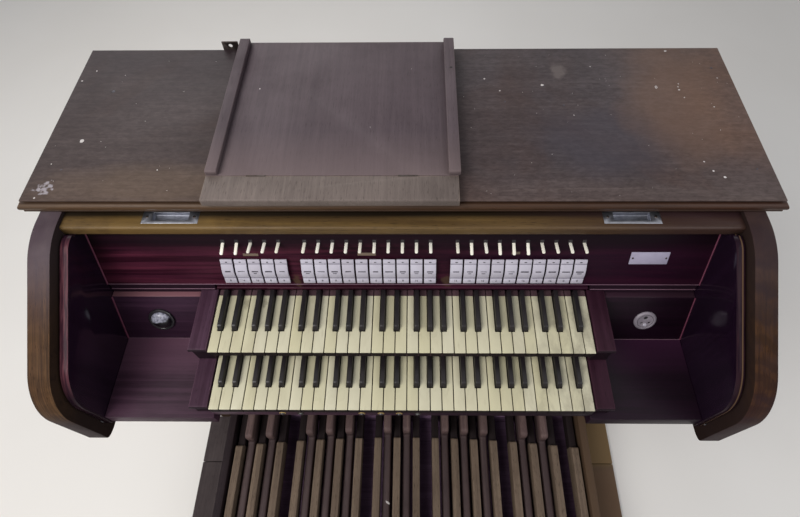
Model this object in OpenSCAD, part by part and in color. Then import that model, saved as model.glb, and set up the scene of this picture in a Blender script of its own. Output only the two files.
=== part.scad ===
// Two-manual organ console: a roll-top keydesk on a closed oak case, with its pedalboard.
// The frame stands on the floor: +X to the player's right, +Y to the back, +Z up.
// Inside the modules, y = 0 and z = 0 are the front edge and top of the lower naturals.

/* [Manuals] */
// Height of the lower naturals above the floor
key_height = 880; // [860:1:920]
// Width of seven naturals
octave_w = 165; // [160:0.5:168]
// Number of naturals on each manual
naturals_n = 33; // [22:1:36]
// Gap between two neighbouring naturals
key_gap = 1.1; // [0.8:0.1:1.6]
// Thickness of a natural
natural_t = 20; // [16:0.5:24]
// Length of a natural in front of the sharps
head_len = 45; // [42:0.5:50]
// Length of a sharp
sharp_len = 88; // [80:0.5:92]
// Width of a sharp at its foot
sharp_w = 10.6; // [9:0.1:12]
// Width of a sharp on top
sharp_top_w = 8.8; // [7:0.1:10]
// Height of a sharp above the naturals
sharp_h = 12; // [10:0.5:13]
// Clearance on each side of a sharp
sharp_clear = 1.2; // [0.8:0.1:1.8]
// How far the upper manual stands behind the lower one
manual_step_y = 96.2; // [90:0.1:110]
// How far the upper manual stands above the lower one
manual_step_z = 63.7; // [60:0.1:75]
// Length of a manual key to its back end
key_len = 140; // [138:0.5:144]
// How much narrower the two end naturals are on their outer side
key_end_trim = 2.4; // [0:0.1:3]

/* [Key blocks, key bed and slip] */
// Width of a key block
block_w = 37; // [30:0.5:60]
// Clearance between a key block and the end key
block_gap = 1.5; // [0.5:0.1:2]
// Height of a key block above its naturals
block_rise = 4; // [2:0.5:8]
// Radius of the nose on a key block
block_nose = 5; // [3:0.5:6]
// How far the front of a key block is set back under its nose
block_undercut = 7; // [4:0.5:10]
// Depth of the space below the lower naturals down to the key bed
bed_drop = 44; // [38:0.5:60]
// Thickness of the key bed
bed_t = 37; // [25:0.5:45]
// How far the key bed stands in front of the lower naturals
bed_nose = 5.5; // [0:0.5:12]
// How far the key bed is cut back in front of the keys
bed_cutback = 16; // [8:0.5:24]
// Diameter of a thumb piston
piston_d = 9; // [8:0.5:10]
// Outer diameter of the brass ring round a thumb piston
piston_ring_d = 14; // [12:0.5:16]

/* [Keydesk sides] */
// Width of the desk between the two linings
desk_w = 1230; // [1180:1:1300]
// Thickness of a lining
lining_t = 16; // [12:0.5:20]
// Width of the groove that the shutter runs in
groove_w = 5; // [4:0.5:8]
// Depth of that groove
groove_depth = 14; // [8:0.5:20]
// Thickness of a cheek
cheek_t = 42; // [30:0.5:50]
// How far the cheeks stand in front of the naturals
cheek_front = 32; // [24:0.5:45]
// How far the linings stand in front of the naturals
lining_front = 9; // [5:0.5:20]
// Radius of the curve at the front of a cheek
cheek_r = 125; // [80:1:140]
// Radius of the curve at the front of a lining
lining_r = 110; // [70:1:130]
// Slope of the cheeks and linings above that curve
side_slope = 31.1; // [30:0.1:32]
// Height of a cheek where its slope passes over the naturals' front edge
cheek_mid_z = 113.5; // [108:0.5:120]
// Radius of the curve that ends the slope of a cheek under the top
cheek_top_r = 150; // [60:5:200]
// Height of a lining where its slope passes over the naturals' front edge
lining_mid_z = 91; // [86:0.5:96]
// Depth of a cheek below the lower naturals
cheek_drop = 128; // [110:0.5:140]
// Height of the rounding at the front foot of a cheek
cheek_foot_h = 13; // [8:0.5:20]
// Length of that rounding
cheek_foot_len = 31; // [16:0.5:40]

/* [Top] */
// Height of the top above the lower naturals
top_z = 285; // [280:0.5:300]
// Thickness of the top board
top_board_t = 20; // [16:0.5:22]
// Thickness of the board's edge that shows over the moulding
board_edge = 3; // [2:0.5:5]
// How far that edge stands back from the moulding
board_inset = 8; // [5:0.5:10]
// Height of the edge from the top down to the foot of the moulding
moulding_h = 29; // [27:0.5:33]
// Height of the quirk between the board's edge and the bead
quirk_h = 4; // [2:0.5:5]
// Height of the bead under that quirk
bead_h = 16; // [12:0.5:18]
// Width of the solid lipping round the top board
lip_w = 16; // [15:0.5:20]
// How far the lower bead stands back from the upper one
small_bead_in = 3.5; // [2:0.5:6]
// Width of the moulding from front to back
moulding_w = 54; // [40:1:60]
// How far the top stands over the cheeks at each side
top_overhang = 31; // [24:0.5:36]
// Where the front edge of the top is
top_front_y = 295.5; // [292:0.5:300]
// Depth of the top from front to back
top_depth = 433.5; // [410:0.5:450]
// How far the top stands over the back panel
back_overhang = 8; // [4:0.5:14]

/* [Music desk] */
// Width of the music desk
desk_panel_w = 466; // [400:0.5:500]
// Where the middle of the music desk is, from the middle of the console
desk_panel_x = -125; // [-160:0.1:0]
// Thickness of the music desk's panel
desk_panel_t = 18; // [14:0.5:22]
// Depth of the ledge at the front of the music desk
ledge_depth = 56; // [50:0.5:80]
// How far the ledge stands in front of the top
ledge_over = 5; // [3:0.5:20]
// Width of a batten on the panel's side edge
batten_w = 22; // [16:0.5:24]
// Height of a batten above the panel
batten_h = 11; // [8:0.5:16]
// How far the right batten stands over the panel's edge
batten_over = 4; // [0:0.5:10]
// Gap between the ledge and the panel
hinge_gap = 1.4; // [1.2:0.1:4]
// Diameter of the hinge's knuckles
knuckle_d = 3; // [2.6:0.2:5]
// Length of one hinge
hinge_len = 36; // [30:1:60]
// Width of the steel bracket on the top's back edge
bracket_w = 36; // [24:0.5:44]
// How far that bracket stands up over the top
bracket_h = 20; // [14:0.5:26]
// How far that bracket reaches down behind the top
bracket_drop = 26; // [20:0.5:40]
// Distance from the music desk to the middle of that bracket
bracket_in = 27; // [20:0.5:40]
// Thickness of that bracket
bracket_t = 3; // [2:0.5:5]
// Diameter of the hole in that bracket
bracket_hole_d = 9; // [6:0.5:12]
// Clearance where two pieces are seated on each other
seat_gap = 0.3; // [0.2:0.05:0.4]

/* [Stop rail and panels] */
// Where the foot of the stop rail's face is
rail_foot_y = 235.5; // [234:0.5:240]
// Height of the foot of the stop rail's face
rail_foot_z = 88; // [86:0.5:92]
// Lean of the stop rail back from upright
rail_lean = 23; // [21:0.2:25]
// Height of the stop rail along its face
rail_len = 145; // [138:0.5:147]
// Thickness of the stop rail
rail_t = 18; // [12:0.5:22]
// Height of the strip over the keys' tails above the upper naturals
strip_rise = 10; // [6:0.5:11]
// Gap between that strip and the sharps
strip_gap = 0.8; // [0.5:0.1:2]
// How far that strip ends below the foot of the stop rail's face
strip_drop = 7; // [1:0.5:8]
// Where the foot of a side panel's face is
side_foot_y = 169.5; // [165:0.5:172]
// Lean of a side panel back from upright
side_lean = 25.4; // [24:0.2:27]
// Height of a side panel along its face
side_len = 117.5; // [112:0.5:122]
// Thickness of a side panel
side_t = 12; // [10:0.5:14]

/* [Stop tabs] */
// Distance from one stop tab to the next
tab_pitch = 27.5; // [26.8:0.1:27.9]
// Where the first tab of the left group is
tab_left_x = -350.5; // [-400:0.5:-340]
// Where the first tab of the middle group is
tab_mid_x = -189; // [-200:0.5:-170]
// Where the first tab of the right group is
tab_right_x = 111; // [100:0.5:130]
// Width of a stop tab
tab_w = 24; // [20:0.1:24.5]
// Length of a stop tab
tab_len = 64; // [56:0.5:66]
// Thickness of a stop tab
tab_t = 3.2; // [2.4:0.2:4]
// How far a stop tab stands out of the rail
tab_out = 11; // [8:0.5:13]
// Height of a stop tab's foot along the rail
tab_foot = 5; // [3:0.5:8]
// Width of a setter lever
lever_w = 6; // [5:0.2:9]
// Length of a setter lever
lever_len = 30; // [24:0.5:34]
// Thickness of a setter lever
lever_t = 3; // [2:0.2:4]
// Height of the setter levers along the rail
lever_up = 105; // [98:0.5:110]
// How far a set lever is turned down
lever_turn = 28; // [20:1:32]
// Width of the name plate
plate_w = 76; // [60:1:90]
// Height of the name plate
plate_h = 29; // [24:0.5:34]
// Thickness of the name plate
plate_t = 2; // [1:0.2:3]
// Distance from the lining to the far end of the name plate
plate_in = 83.5; // [70:0.5:95]
// Height of the name plate's foot along the rail
plate_up = 55; // [40:1:70]
// Diameter of the lamp on the left side panel
lamp_d = 56; // [50:1:60]
// Diameter of the socket on the right side panel
socket_d = 48; // [44:1:54]
// Distance from the linings to the middle of the lamp and the socket
fitting_in = 91; // [60:1:120]
// Height of the lamp and the socket along the side panels
fitting_up = 56; // [40:1:80]

/* [Roll-top shutter] */
// Thickness of the shutter's leading rail
shutter_rail_t = 20; // [16:0.5:21]
// Depth of the shutter's leading rail
shutter_rail_depth = 64; // [56:0.5:72]
// How far the leading rail stands in front of the top
shutter_out = 27.5; // [24:0.5:32]
// Clearance at each end of the shutter
shutter_clear = 0.4; // [0.3:0.1:0.8]
// Width of one slat
slat_w = 22; // [18:0.5:26]
// Thickness of one slat
slat_t = 8; // [6:0.5:10]
// Number of slats on the runners
slats_n = 14; // [4:1:14]
// Gap between slats
slat_gap = 1; // [0.6:0.1:1.5]
// Width of a pull plate
pull_w = 107; // [90:1:120]
// Depth of a pull plate from front to back
pull_depth = 32; // [26:0.5:38]
// Distance from the front of the leading rail to a pull plate
pull_front = 11; // [4:0.5:12]
// Depth of the cup in a pull plate
pull_cup = 11; // [8:0.5:12]
// Distance from the end of the shutter to the middle of a pull plate
pull_in = 204; // [150:1:260]

/* [Case] */
// Thickness of a lower side
side_board_t = 36; // [24:0.5:40]
// Where the front of the lower case is
case_front_y = 200; // [190:1:230]
// Thickness of the knee board
knee_t = 18; // [14:0.5:24]
// Where the front of the knee board is
knee_y = 300; // [290:1:330]
// Thickness of the back panel
back_t = 18; // [14:0.5:24]
// Width of the stiles and rails of the panelled boards
stile_w = 90; // [70:1:120]
// Depth of the fields in the panelled boards
field_depth = 6; // [3:0.5:8]
// Height of the plinth rails
plinth_h = 80; // [60:1:100]
// Thickness of the plinth rails
plinth_t = 22; // [16:0.5:26]

/* [Pedalboard] */
// Number of pedal naturals
pedals_n = 18; // [11:1:18]
// Width of a pedal natural
pedal_w = 23; // [20:0.5:24]
// Width of a pedal sharp
pedal_sharp_w = 25; // [22:0.5:27]
// Height of the middle pedal naturals above the floor
pedal_z = 120; // [112:1:130]
// How much higher the outer pedals stand than the middle ones
pedal_rise = 45; // [0:1:60]
// Where the far end of the middle natural's cap is
pedal_cap_y = 110; // [100:0.5:120]
// How much nearer to the player the outer caps end
pedal_arc = 38; // [0:1:50]
// Length of the middle natural's cap
pedal_cap_len = 696; // [640:1:720]
// Height of a natural's cap above the key's body
pedal_cap_h = 18; // [12:0.5:24]
// Height of a pedal key's body
pedal_body_h = 40; // [34:0.5:44]
// Height of the pedal sharps above the naturals
pedal_sharp_h = 32; // [26:0.5:40]
// How far a sharp's near end stands behind the naturals' cap ends
pedal_sharp_back = 12; // [4:0.5:20]
// Where the far ends of the pedal keys are
pedal_far_y = 236; // [225:1:245]
// Thickness of the pedalboard's boards
pedal_board_t = 24; // [18:0.5:28]
// Clearance between a pedalboard cheek and the end key
pedal_side_gap = 8; // [6:0.5:12]
// Room between a pedalboard cheek and the lower side next to it
pedal_room = 48.5; // [40:0.5:60]
// Width of a rail under the pedal keys
pedal_rail_w = 36; // [28:1:44]
// Thickness of the bottom boards between those rails
pedal_bottom_t = 8; // [6:0.5:14]
// Distance from the ends of the pedal keys to the outer rails
pedal_rail_in = 12; // [6:1:40]
// How far the boards beside the pedalboard reach past the lower sides
floor_board_over = 35; // [10:0.5:40]
// Thickness of those boards
floor_board_t = 22; // [18:0.5:28]
// Where the joint in those boards is
floor_joint_y = 44; // [0:1:60]

/* [Hidden] */
$fn = 48;
// Where in an octave of naturals a sharp follows, and its shift in key widths
SHARP_SHIFT = [-0.12, 0.12, undef, -0.15, 0, 0.15, undef];
// Thumb pistons, from the middle of the manuals
PISTON_X = [-242, -205, -80, -41, -4, 34];
// Number of stop tabs in each group, where its first tab is, and which levers are set
TAB_GROUPS = [[5, tab_left_x, [0, 1]], [10, tab_mid_x, []], [10, tab_right_x, [1, 3, 4, 5]]];

key_pitch = octave_w / 7;
manual_w = naturals_n * key_pitch;
block_in_x = manual_w / 2 - key_end_trim + block_gap;
block_out_x = block_in_x + block_w;
lining_in_x = desk_w / 2;
cheek_in_x = lining_in_x + lining_t + groove_w;
cheek_out_x = cheek_in_x + cheek_t;
top_half_w = cheek_out_x + top_overhang;
top_back_y = top_front_y + top_depth;
back_y = top_back_y - back_overhang - back_t;
moulding_foot_z = top_z - moulding_h;
bed_bottom_z = -bed_drop - bed_t;
floor_z = -key_height;
shutter_front_y = top_front_y - shutter_out;
shutter_gap = 8;
shutter_top_z = moulding_foot_z - shutter_gap;
runner_z = shutter_top_z - shutter_rail_t - seat_gap;
manual_back_y = manual_step_y + key_len;
sharp_back = head_len + sharp_clear + sharp_len;
lower_side_out = cheek_in_x + side_board_t;
floor_board_x = lower_side_out + floor_board_over;
pull_x = cheek_in_x - pull_in;

pedal_cheek_out = cheek_in_x - pedal_room;
pedal_cheek_in = pedal_cheek_out - pedal_board_t;
pedal_half_w = pedal_cheek_in - pedal_side_gap - pedal_w / 2;
pedal_pitch = 2 * pedal_half_w / (pedals_n - 1);
pedal_near_y = pedal_cap_y - pedal_cap_len;
pedal_front_y = pedal_near_y - seat_gap - pedal_board_t;
frame_dy = -(pedal_front_y + top_back_y + bracket_t) / 2;

function has_sharp(i, n) = i < n - 1 && SHARP_SHIFT[i % 7] != undef;
function sharp_x(i, n, pitch) = (i + 1 - n / 2 + SHARP_SHIFT[i % 7]) * pitch;
// Points of an arc round [cy, cz], from angle a0 to a1
function arc(cy, cz, r, a0, a1, steps = 16) =
    [for (k = [0:steps]) let (a = a0 + (a1 - a0) * k / steps) [cy + r * cos(a), cz + r * sin(a)]];
// Front curve of a keydesk side: upright at y = front, then a slope that passes mid_z at y = 0
function side_curve(front, r, slope, mid_z) =
    let (corner_z = mid_z + front * tan(slope), run = r * tan((90 - slope) / 2))
    arc(front + r, corner_z - run, r, 180, 90 + slope);
function slope_z(y, slope, mid_z) = mid_z + y * tan(slope);
function pedal_top(x) = floor_z + pedal_z + pedal_rise * pow(x / pedal_half_w, 2);
function pedal_end(x) = pedal_cap_y - pedal_arc * pow(x / pedal_half_w, 2);
function pedal_under(x) = pedal_top(x) - pedal_cap_h - pedal_body_h;

module at_floor() { translate([0, frame_dy, key_height]) children(); }
// Extrudes a [y, z] outline along X from x0 to x1
module along_x(x0, x1) {
    translate([x0, 0, 0]) rotate([90, 0, 90]) linear_extrude(x1 - x0) children();
}
module box(lo, hi) { translate(lo) cube(hi - lo); }
module both_sides() {
    children();
    mirror([1, 0, 0]) children();
}
// Places children on a leaning face whose foot is at [y, z], with +Y out of the face
module on_face(y, z, lean) {
    translate([0, y, z]) rotate([-lean, 0, 0]) rotate([0, 0, 180]) children();
}

module top_board() {
    color([0.33, 0.29, 0.28])
    at_floor() {
        box([-top_half_w + lip_w, top_front_y + lip_w, top_z - top_board_t],
            [top_half_w - lip_w, top_back_y, top_z]);
        box([-top_half_w + board_inset, top_front_y + board_inset, top_z - board_edge],
            [top_half_w - board_inset, top_back_y, top_z]);
    }
}

// Section of the moulding from its top down: quirk, bead and small bead,
// as [distance in from the bead, height above the moulding's foot]
function moulding_edge() =
    let (top = moulding_h - board_edge, wall = board_inset + 3, r = bead_h / 2,
         bead_top = top - quirk_h, small_r = (bead_top - bead_h) / 2)
    concat([[wall, top], [wall, bead_top]], arc(r, bead_top - r, r, 90, 255, 11),
        arc(small_bead_in + small_r, small_r, small_r, 95, 270, 8));

// The space inside a line drawn in from the top's edge, open at the back
module inside_edge(inset, z) {
    box([-top_half_w + inset, top_front_y + inset, z],
        [top_half_w - inset, top_back_y + 1, moulding_h + 1]);
}
module top_moulding() {
    edge = moulding_edge();
    color([0.24, 0.17, 0.13])
    at_floor() translate([0, 0, moulding_foot_z]) difference() {
        intersection() {
            along_x(-top_half_w, top_half_w)
                polygon(concat([for (p = edge) [top_front_y + p[0], p[1]]],
                    [[top_back_y, 0], [top_back_y, moulding_h - board_edge]]));
            translate([0, top_back_y, 0]) rotate([90, 0, 0]) linear_extrude(top_depth)
                polygon(concat([for (p = edge) [-top_half_w + p[0], p[1]]],
                    [for (k = [len(edge) - 1:-1:0]) [top_half_w - edge[k][0], edge[k][1]]]));
        }
        inside_edge(lip_w, moulding_h - top_board_t);
        inside_edge(moulding_w, -1);
    }
}

desk_x0 = desk_panel_x - desk_panel_w / 2;
desk_x1 = desk_panel_x + desk_panel_w / 2;
ledge_front_y = top_front_y - ledge_over;
ledge_back_y = ledge_front_y + ledge_depth;
hinge_y = ledge_back_y + hinge_gap / 2;
panel_front_y = ledge_back_y + hinge_gap;
panel_z = top_z + seat_gap;
hinge_z = top_z + desk_panel_t;

module music_ledge() {
    nose = 4;
    color([0.36, 0.33, 0.31])
    at_floor() difference() {
        along_x(desk_x0, desk_x1) polygon(concat(
            [[ledge_back_y, top_z], [ledge_back_y, hinge_z]],
            arc(ledge_front_y + nose, hinge_z - nose, nose, 90, 180, 6),
            [[ledge_front_y, top_z + 2], [ledge_front_y + 2, top_z]]));
        hinge_notches(0);
    }
}
// Room for the two hinges' knuckles in the ledge and in the panel
module hinge_notches(clear) {
    for (x = hinge_centres())
        translate([x - hinge_len / 2 - clear, hinge_y, hinge_z]) rotate([0, 90, 0])
            cylinder(d = knuckle_d + 2 * clear, h = hinge_len + 2 * clear);
}
function hinge_centres() = [desk_x0 + desk_panel_w * 0.2, desk_x1 - desk_panel_w * 0.2];

module music_hinges() {
    color([0.3, 0.28, 0.24])
    at_floor() hinge_notches(-0.01);
}

module music_panel() {
    color([0.35, 0.29, 0.28])
    at_floor() difference() {
        box([desk_x0, panel_front_y, panel_z], [desk_x1, top_back_y, top_z + desk_panel_t]);
        hinge_notches(0.5);
    }
}

module music_batten(x0) {
    color([0.38, 0.32, 0.29])
    at_floor() along_x(x0, x0 + batten_w) polygon([
        [panel_front_y, hinge_z], [top_back_y, hinge_z],
        [top_back_y, hinge_z + batten_h], [panel_front_y + 2, hinge_z + batten_h],
        [panel_front_y, hinge_z + batten_h - 2]]);
}
module music_battens() {
    music_batten(desk_x0);
    music_batten(desk_x1 - batten_w + batten_over);
}

module top_bracket() {
    x = desk_x0 - bracket_in;
    color([0.22, 0.21, 0.22])
    at_floor() difference() {
        box([x - bracket_w / 2, top_back_y, top_z - bracket_drop],
            [x + bracket_w / 2, top_back_y + bracket_t, top_z + bracket_h]);
        translate([x, top_back_y + bracket_t + 1, top_z + bracket_h / 2]) rotate([90, 0, 0])
            cylinder(d = bracket_hole_d, h = bracket_t + 2);
    }
}

module cheek_outline() {
    // Where the slope would meet the height of the moulding's foot
    meet_y = (moulding_foot_z - cheek_mid_z) / tan(side_slope);
    run = cheek_top_r * tan(side_slope / 2);
    polygon(concat(
        [for (a = [90:-15:0]) [-cheek_front + cheek_foot_len * (1 - cos(a)),
            -cheek_drop + cheek_foot_h * (1 - sin(a))]],
        side_curve(-cheek_front, cheek_r, side_slope, cheek_mid_z),
        arc(meet_y + run, moulding_foot_z - cheek_top_r, cheek_top_r, 90 + side_slope, 90, 10),
        [[back_y, moulding_foot_z], [back_y, -cheek_drop]]));
}
module cheek_right() {
    color([0.36, 0.26, 0.17])
    at_floor() along_x(cheek_in_x, cheek_out_x) cheek_outline();
}
module cheek_left() {
    color([0.36, 0.26, 0.17])
    at_floor() along_x(-cheek_out_x, -cheek_in_x) cheek_outline();
}

// Outline of a lining, drawn back by inset from its front edge
module lining_outline(inset) {
    top_r = 45;
    run = top_r * tan(side_slope / 2);
    nose_y = shutter_front_y - 7;
    mid_z = lining_mid_z - inset / cos(side_slope);
    // The nose stands up in front of the shutter's rail, or as high as the slope reaches
    nose_z = min(runner_z + shutter_rail_t * 0.4 - inset, slope_z(nose_y - run, side_slope, mid_z));
    bend_y = (nose_z - mid_z) / tan(side_slope) + run;
    polygon(concat(
        [[-lining_front + inset, bed_bottom_z]],
        side_curve(-lining_front + inset, lining_r - inset, side_slope, mid_z),
        arc(bend_y, nose_z - top_r, top_r, 90 + side_slope, 90, 6),
        [[nose_y, nose_z], [nose_y, runner_z - inset],
         [back_y, runner_z - inset], [back_y, bed_bottom_z]]));
}
module lining() {
    along_x(lining_in_x, lining_in_x + lining_t) lining_outline(0);
    along_x(lining_in_x + lining_t, cheek_in_x) lining_outline(groove_depth);
}
module lining_right() { color([0.26, 0.1, 0.11]) at_floor() lining(); }
module lining_left() { color([0.26, 0.1, 0.11]) at_floor() mirror([1, 0, 0]) lining(); }

module groove_stops() {
    color([0.6, 0.6, 0.6])
    at_floor() both_sides()
        box([lining_in_x + lining_t, -lining_front, bed_bottom_z + 4],
            [cheek_in_x, -lining_front + groove_depth, bed_bottom_z + 12]);
}

module shutter_rail() {
    half = cheek_in_x - shutter_clear;
    color([0.34, 0.27, 0.16])
    at_floor() difference() {
        along_x(-half, half) polygon([
            [shutter_front_y, shutter_top_z - shutter_rail_t], [shutter_front_y, shutter_top_z - 3],
            [shutter_front_y + 3, shutter_top_z],
            [shutter_front_y + shutter_rail_depth, shutter_top_z],
            [shutter_front_y + shutter_rail_depth, shutter_top_z - shutter_rail_t]]);
        both_sides() pull_recess();
    }
}
pull_y0 = shutter_front_y + pull_front;
pull_y1 = pull_y0 + pull_depth;
pull_x0 = pull_x - pull_w / 2;
pull_x1 = pull_x + pull_w / 2;
pull_t = 1.6;
pull_rim = pull_depth / 6;
cup_x0 = pull_x - pull_w / 3;
cup_x1 = pull_x + pull_w / 3;
module pull_recess() {
    box([pull_x0, pull_y0, shutter_top_z - pull_t], [pull_x1, pull_y1, shutter_top_z + 1]);
    box([cup_x0, pull_y0 + pull_rim, shutter_top_z - pull_cup],
        [cup_x1, pull_y1 - pull_rim, shutter_top_z]);
}
module pull_plates() {
    wall = 1.5;
    color([0.75, 0.76, 0.78])
    at_floor() both_sides() difference() {
        union() {
            box([pull_x0, pull_y0, shutter_top_z - pull_t], [pull_x1, pull_y1, shutter_top_z]);
            box([cup_x0, pull_y0 + pull_rim, shutter_top_z - pull_cup],
                [cup_x1, pull_y1 - pull_rim, shutter_top_z - pull_t]);
        }
        box([cup_x0 + wall, pull_y0 + pull_rim + wall, shutter_top_z - pull_cup + wall],
            [cup_x1 - wall, pull_y1 - pull_rim - wall, shutter_top_z + 1]);
    }
}

module shutter_slats() {
    half = cheek_in_x - shutter_clear;
    y0 = shutter_front_y + shutter_rail_depth + slat_gap;
    color([0.34, 0.27, 0.16])
    at_floor() for (k = [0:slats_n - 1]) {
        y = y0 + k * (slat_w + slat_gap);
        along_x(-half, half) polygon([
            [y, runner_z], [y, runner_z + slat_t / 2], [y + 3, runner_z + slat_t],
            [y + slat_w - 3, runner_z + slat_t], [y + slat_w, runner_z + slat_t / 2],
            [y + slat_w, runner_z]]);
    }
}

// The rail behind the stop tabs, with the strip along its foot that covers the keys' tails
module stop_rail() {
    strip_y = manual_step_y + sharp_back + strip_gap;
    strip_z = manual_step_z + strip_rise;
    color([0.3, 0.1, 0.12])
    at_floor() {
        on_face(rail_foot_y, rail_foot_z, rail_lean)
            box([-lining_in_x, -rail_t, 0], [lining_in_x, 0, rail_len]);
        box([-block_in_x, strip_y, strip_z],
            [block_in_x, rail_foot_y + rail_t * 0.9, rail_foot_z - strip_drop]);
    }
}

// A stop tab: a thin strip with two creases, swung out between them and at its foot
tab_creases = [0.19, 0.81];
function tab_reach(t) =
    let (lo = tab_creases[0], hi = tab_creases[1])
    tab_out * (t < lo ? 1 - 0.3 * t / lo : t > hi ? 0.7 - 0.05 * (t - hi) / (1 - hi)
        : 0.7 + 0.3 * sin(180 * (t - lo) / (hi - lo)));
module tab_outline() {
    steps = [0, for (k = [0:8]) tab_creases[0] + (tab_creases[1] - tab_creases[0]) * k / 8, 1];
    stem = [0.6, 0.8];
    back = [for (k = [len(steps) - 1:-1:0]) let (t = steps[k]) [tab_reach(t) - tab_t, tab_len * t]];
    polygon(concat([for (t = steps) [tab_reach(t), tab_len * t]],
        [for (p = back) if (p[1] > stem[1] * tab_len) p],
        [for (t = [stem[1], stem[0]]) each let (p = [tab_reach(t) - tab_t, tab_len * t])
            t == stem[1] ? [p, [0, p[1]]] : [[0, p[1]], p]],
        [for (p = back) if (p[1] < stem[0] * tab_len) p]));
}
module stop_tabs() {
    color([0.85, 0.83, 0.87])
    at_floor() on_face(rail_foot_y, rail_foot_z, rail_lean)
        for (g = TAB_GROUPS, k = [0:g[0] - 1])
            translate([0, 0, tab_foot])
                along_x(-g[1] - k * tab_pitch - tab_w / 2, -g[1] - k * tab_pitch + tab_w / 2)
                    tab_outline();
}
// Side view of a setter lever that is turned down by some degrees
module lever_outline(turn) {
    d = [cos(turn), -sin(turn)];
    n = [sin(turn), cos(turn)] * lever_t / 2;
    polygon([[0, -lever_t / 2], [0, lever_t / 2], d * (lever_len - 1) + n, d * lever_len,
             d * (lever_len - 1) - n]);
}
module setter_levers() {
    color([0.88, 0.85, 0.74])
    at_floor() on_face(rail_foot_y, rail_foot_z, rail_lean)
        for (g = TAB_GROUPS, k = [0:g[0] - 1])
            translate([0, 0, lever_up])
                along_x(-g[1] - k * tab_pitch - lever_w / 2, -g[1] - k * tab_pitch + lever_w / 2)
                    lever_outline(len([for (q = g[2]) if (q == k) q]) > 0 ? lever_turn : 0);
}
module name_plate() {
    x = -lining_in_x + plate_in;
    color([0.88, 0.87, 0.88])
    at_floor() on_face(rail_foot_y, rail_foot_z, rail_lean)
        box([x, 0, plate_up], [x + plate_w, plate_t, plate_up + plate_h]);
}

module side_panel(x0, x1) {
    top_y = side_foot_y + side_len * sin(side_lean);
    side_top_z = -bed_drop + side_len * cos(side_lean);
    depth = side_t / cos(side_lean);
    color([0.3, 0.1, 0.12])
    at_floor() along_x(x0, x1) polygon([[side_foot_y, -bed_drop], [top_y, side_top_z],
        [top_y + depth, side_top_z], [side_foot_y + depth, -bed_drop]]);
}
module side_panels() {
    side_panel(block_out_x, lining_in_x);
    side_panel(-lining_in_x, -block_out_x);
}

// Places children on a side panel's face, looking out of it
module on_side_panel(x) {
    on_face(side_foot_y, -bed_drop, side_lean)
        translate([-x, 0, fitting_up]) rotate([-90, 0, 0]) children();
}
fitting_x = lining_in_x - fitting_in;
module round_lamp() {
    rim = 6;
    rim_h = 5;
    dome_r = lamp_d / 2 - rim;
    color([0.12, 0.12, 0.13])
    at_floor() on_side_panel(-fitting_x) rotate_extrude()
        polygon(concat([[0, 0], [lamp_d / 2, 0], [lamp_d / 2, rim_h - 2],
            [lamp_d / 2 - 2, rim_h], [dome_r, rim_h]],
            [for (k = [1:10]) let (a = 9 * k) [dome_r * cos(a), rim_h + 10 * sin(a)]]));
}
module round_socket() {
    holes = [[1, 9, 8], [-9, -4, 5], [7, -5, 5]];
    color([0.72, 0.7, 0.7])
    at_floor() on_side_panel(fitting_x) difference() {
        rotate_extrude() polygon([[0, 0], [socket_d / 2, 0], [socket_d / 2, 2.5],
            [socket_d / 2 - 3, 5], [socket_d / 2 - 6, 5], [socket_d / 2 - 7, 4], [0, 4]]);
        for (h = holes) translate([h[0] * socket_d / 48, -h[1] * socket_d / 48, 1])
            cylinder(d = h[2], h = 5);
    }
}

module key_bed() {
    color([0.28, 0.11, 0.12])
    at_floor() difference() {
        box([-lining_in_x, -bed_nose, bed_bottom_z], [lining_in_x, back_y, -bed_drop]);
        box([-block_in_x, -bed_nose - 1, bed_bottom_z - 1],
            [block_in_x, -bed_nose + bed_cutback, -bed_drop + 1]);
    }
}

// Outline of natural i seen from above: a full head, and a tail between the sharps
module natural_outline(i, len) {
    x0 = (i - naturals_n / 2) * key_pitch + key_gap / 2 + (i == 0 ? key_end_trim : 0);
    x1 = (i + 1 - naturals_n / 2) * key_pitch - key_gap / 2
        - (i == naturals_n - 1 ? key_end_trim : 0);
    room = sharp_w / 2 + sharp_clear;
    left = i > 0 && has_sharp(i - 1, naturals_n) ? sharp_x(i - 1, naturals_n, key_pitch) + room : x0;
    right = has_sharp(i, naturals_n) ? sharp_x(i, naturals_n, key_pitch) - room : x1;
    polygon([[x0, 0], [x1, 0], [x1, head_len], [right, head_len], [right, len], [left, len],
        [left, head_len], [x0, head_len]]);
}
module naturals() {
    for (i = [0:naturals_n - 1])
        translate([0, 0, -natural_t]) linear_extrude(natural_t) natural_outline(i, key_len);
}
module sharps() {
    front = head_len + sharp_clear;
    for (i = [0:naturals_n - 1]) if (has_sharp(i, naturals_n))
        translate([sharp_x(i, naturals_n, key_pitch), 0, 0]) intersection() {
            along_x(-sharp_w / 2, sharp_w / 2) polygon([
                [front, -natural_t], [front, 1], [front + 5, sharp_h - 1], [front + 8, sharp_h],
                [sharp_back, sharp_h], [sharp_back, -natural_t]]);
            translate([0, sharp_back + 1, 0]) rotate([90, 0, 0]) linear_extrude(sharp_len + 3)
                polygon([[-sharp_w / 2, -natural_t], [-sharp_w / 2, 0], [-sharp_top_w / 2, sharp_h],
                    [sharp_top_w / 2, sharp_h], [sharp_w / 2, 0], [sharp_w / 2, -natural_t]]);
        }
}
module lower_naturals() { color([0.88, 0.86, 0.72]) at_floor() naturals(); }
module lower_sharps() { color([0.08, 0.07, 0.07]) at_floor() sharps(); }
module upper_naturals() {
    color([0.88, 0.86, 0.72]) at_floor() translate([0, manual_step_y, manual_step_z]) naturals();
}
module upper_sharps() {
    color([0.08, 0.07, 0.07]) at_floor() translate([0, manual_step_y, manual_step_z]) sharps();
}

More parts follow.
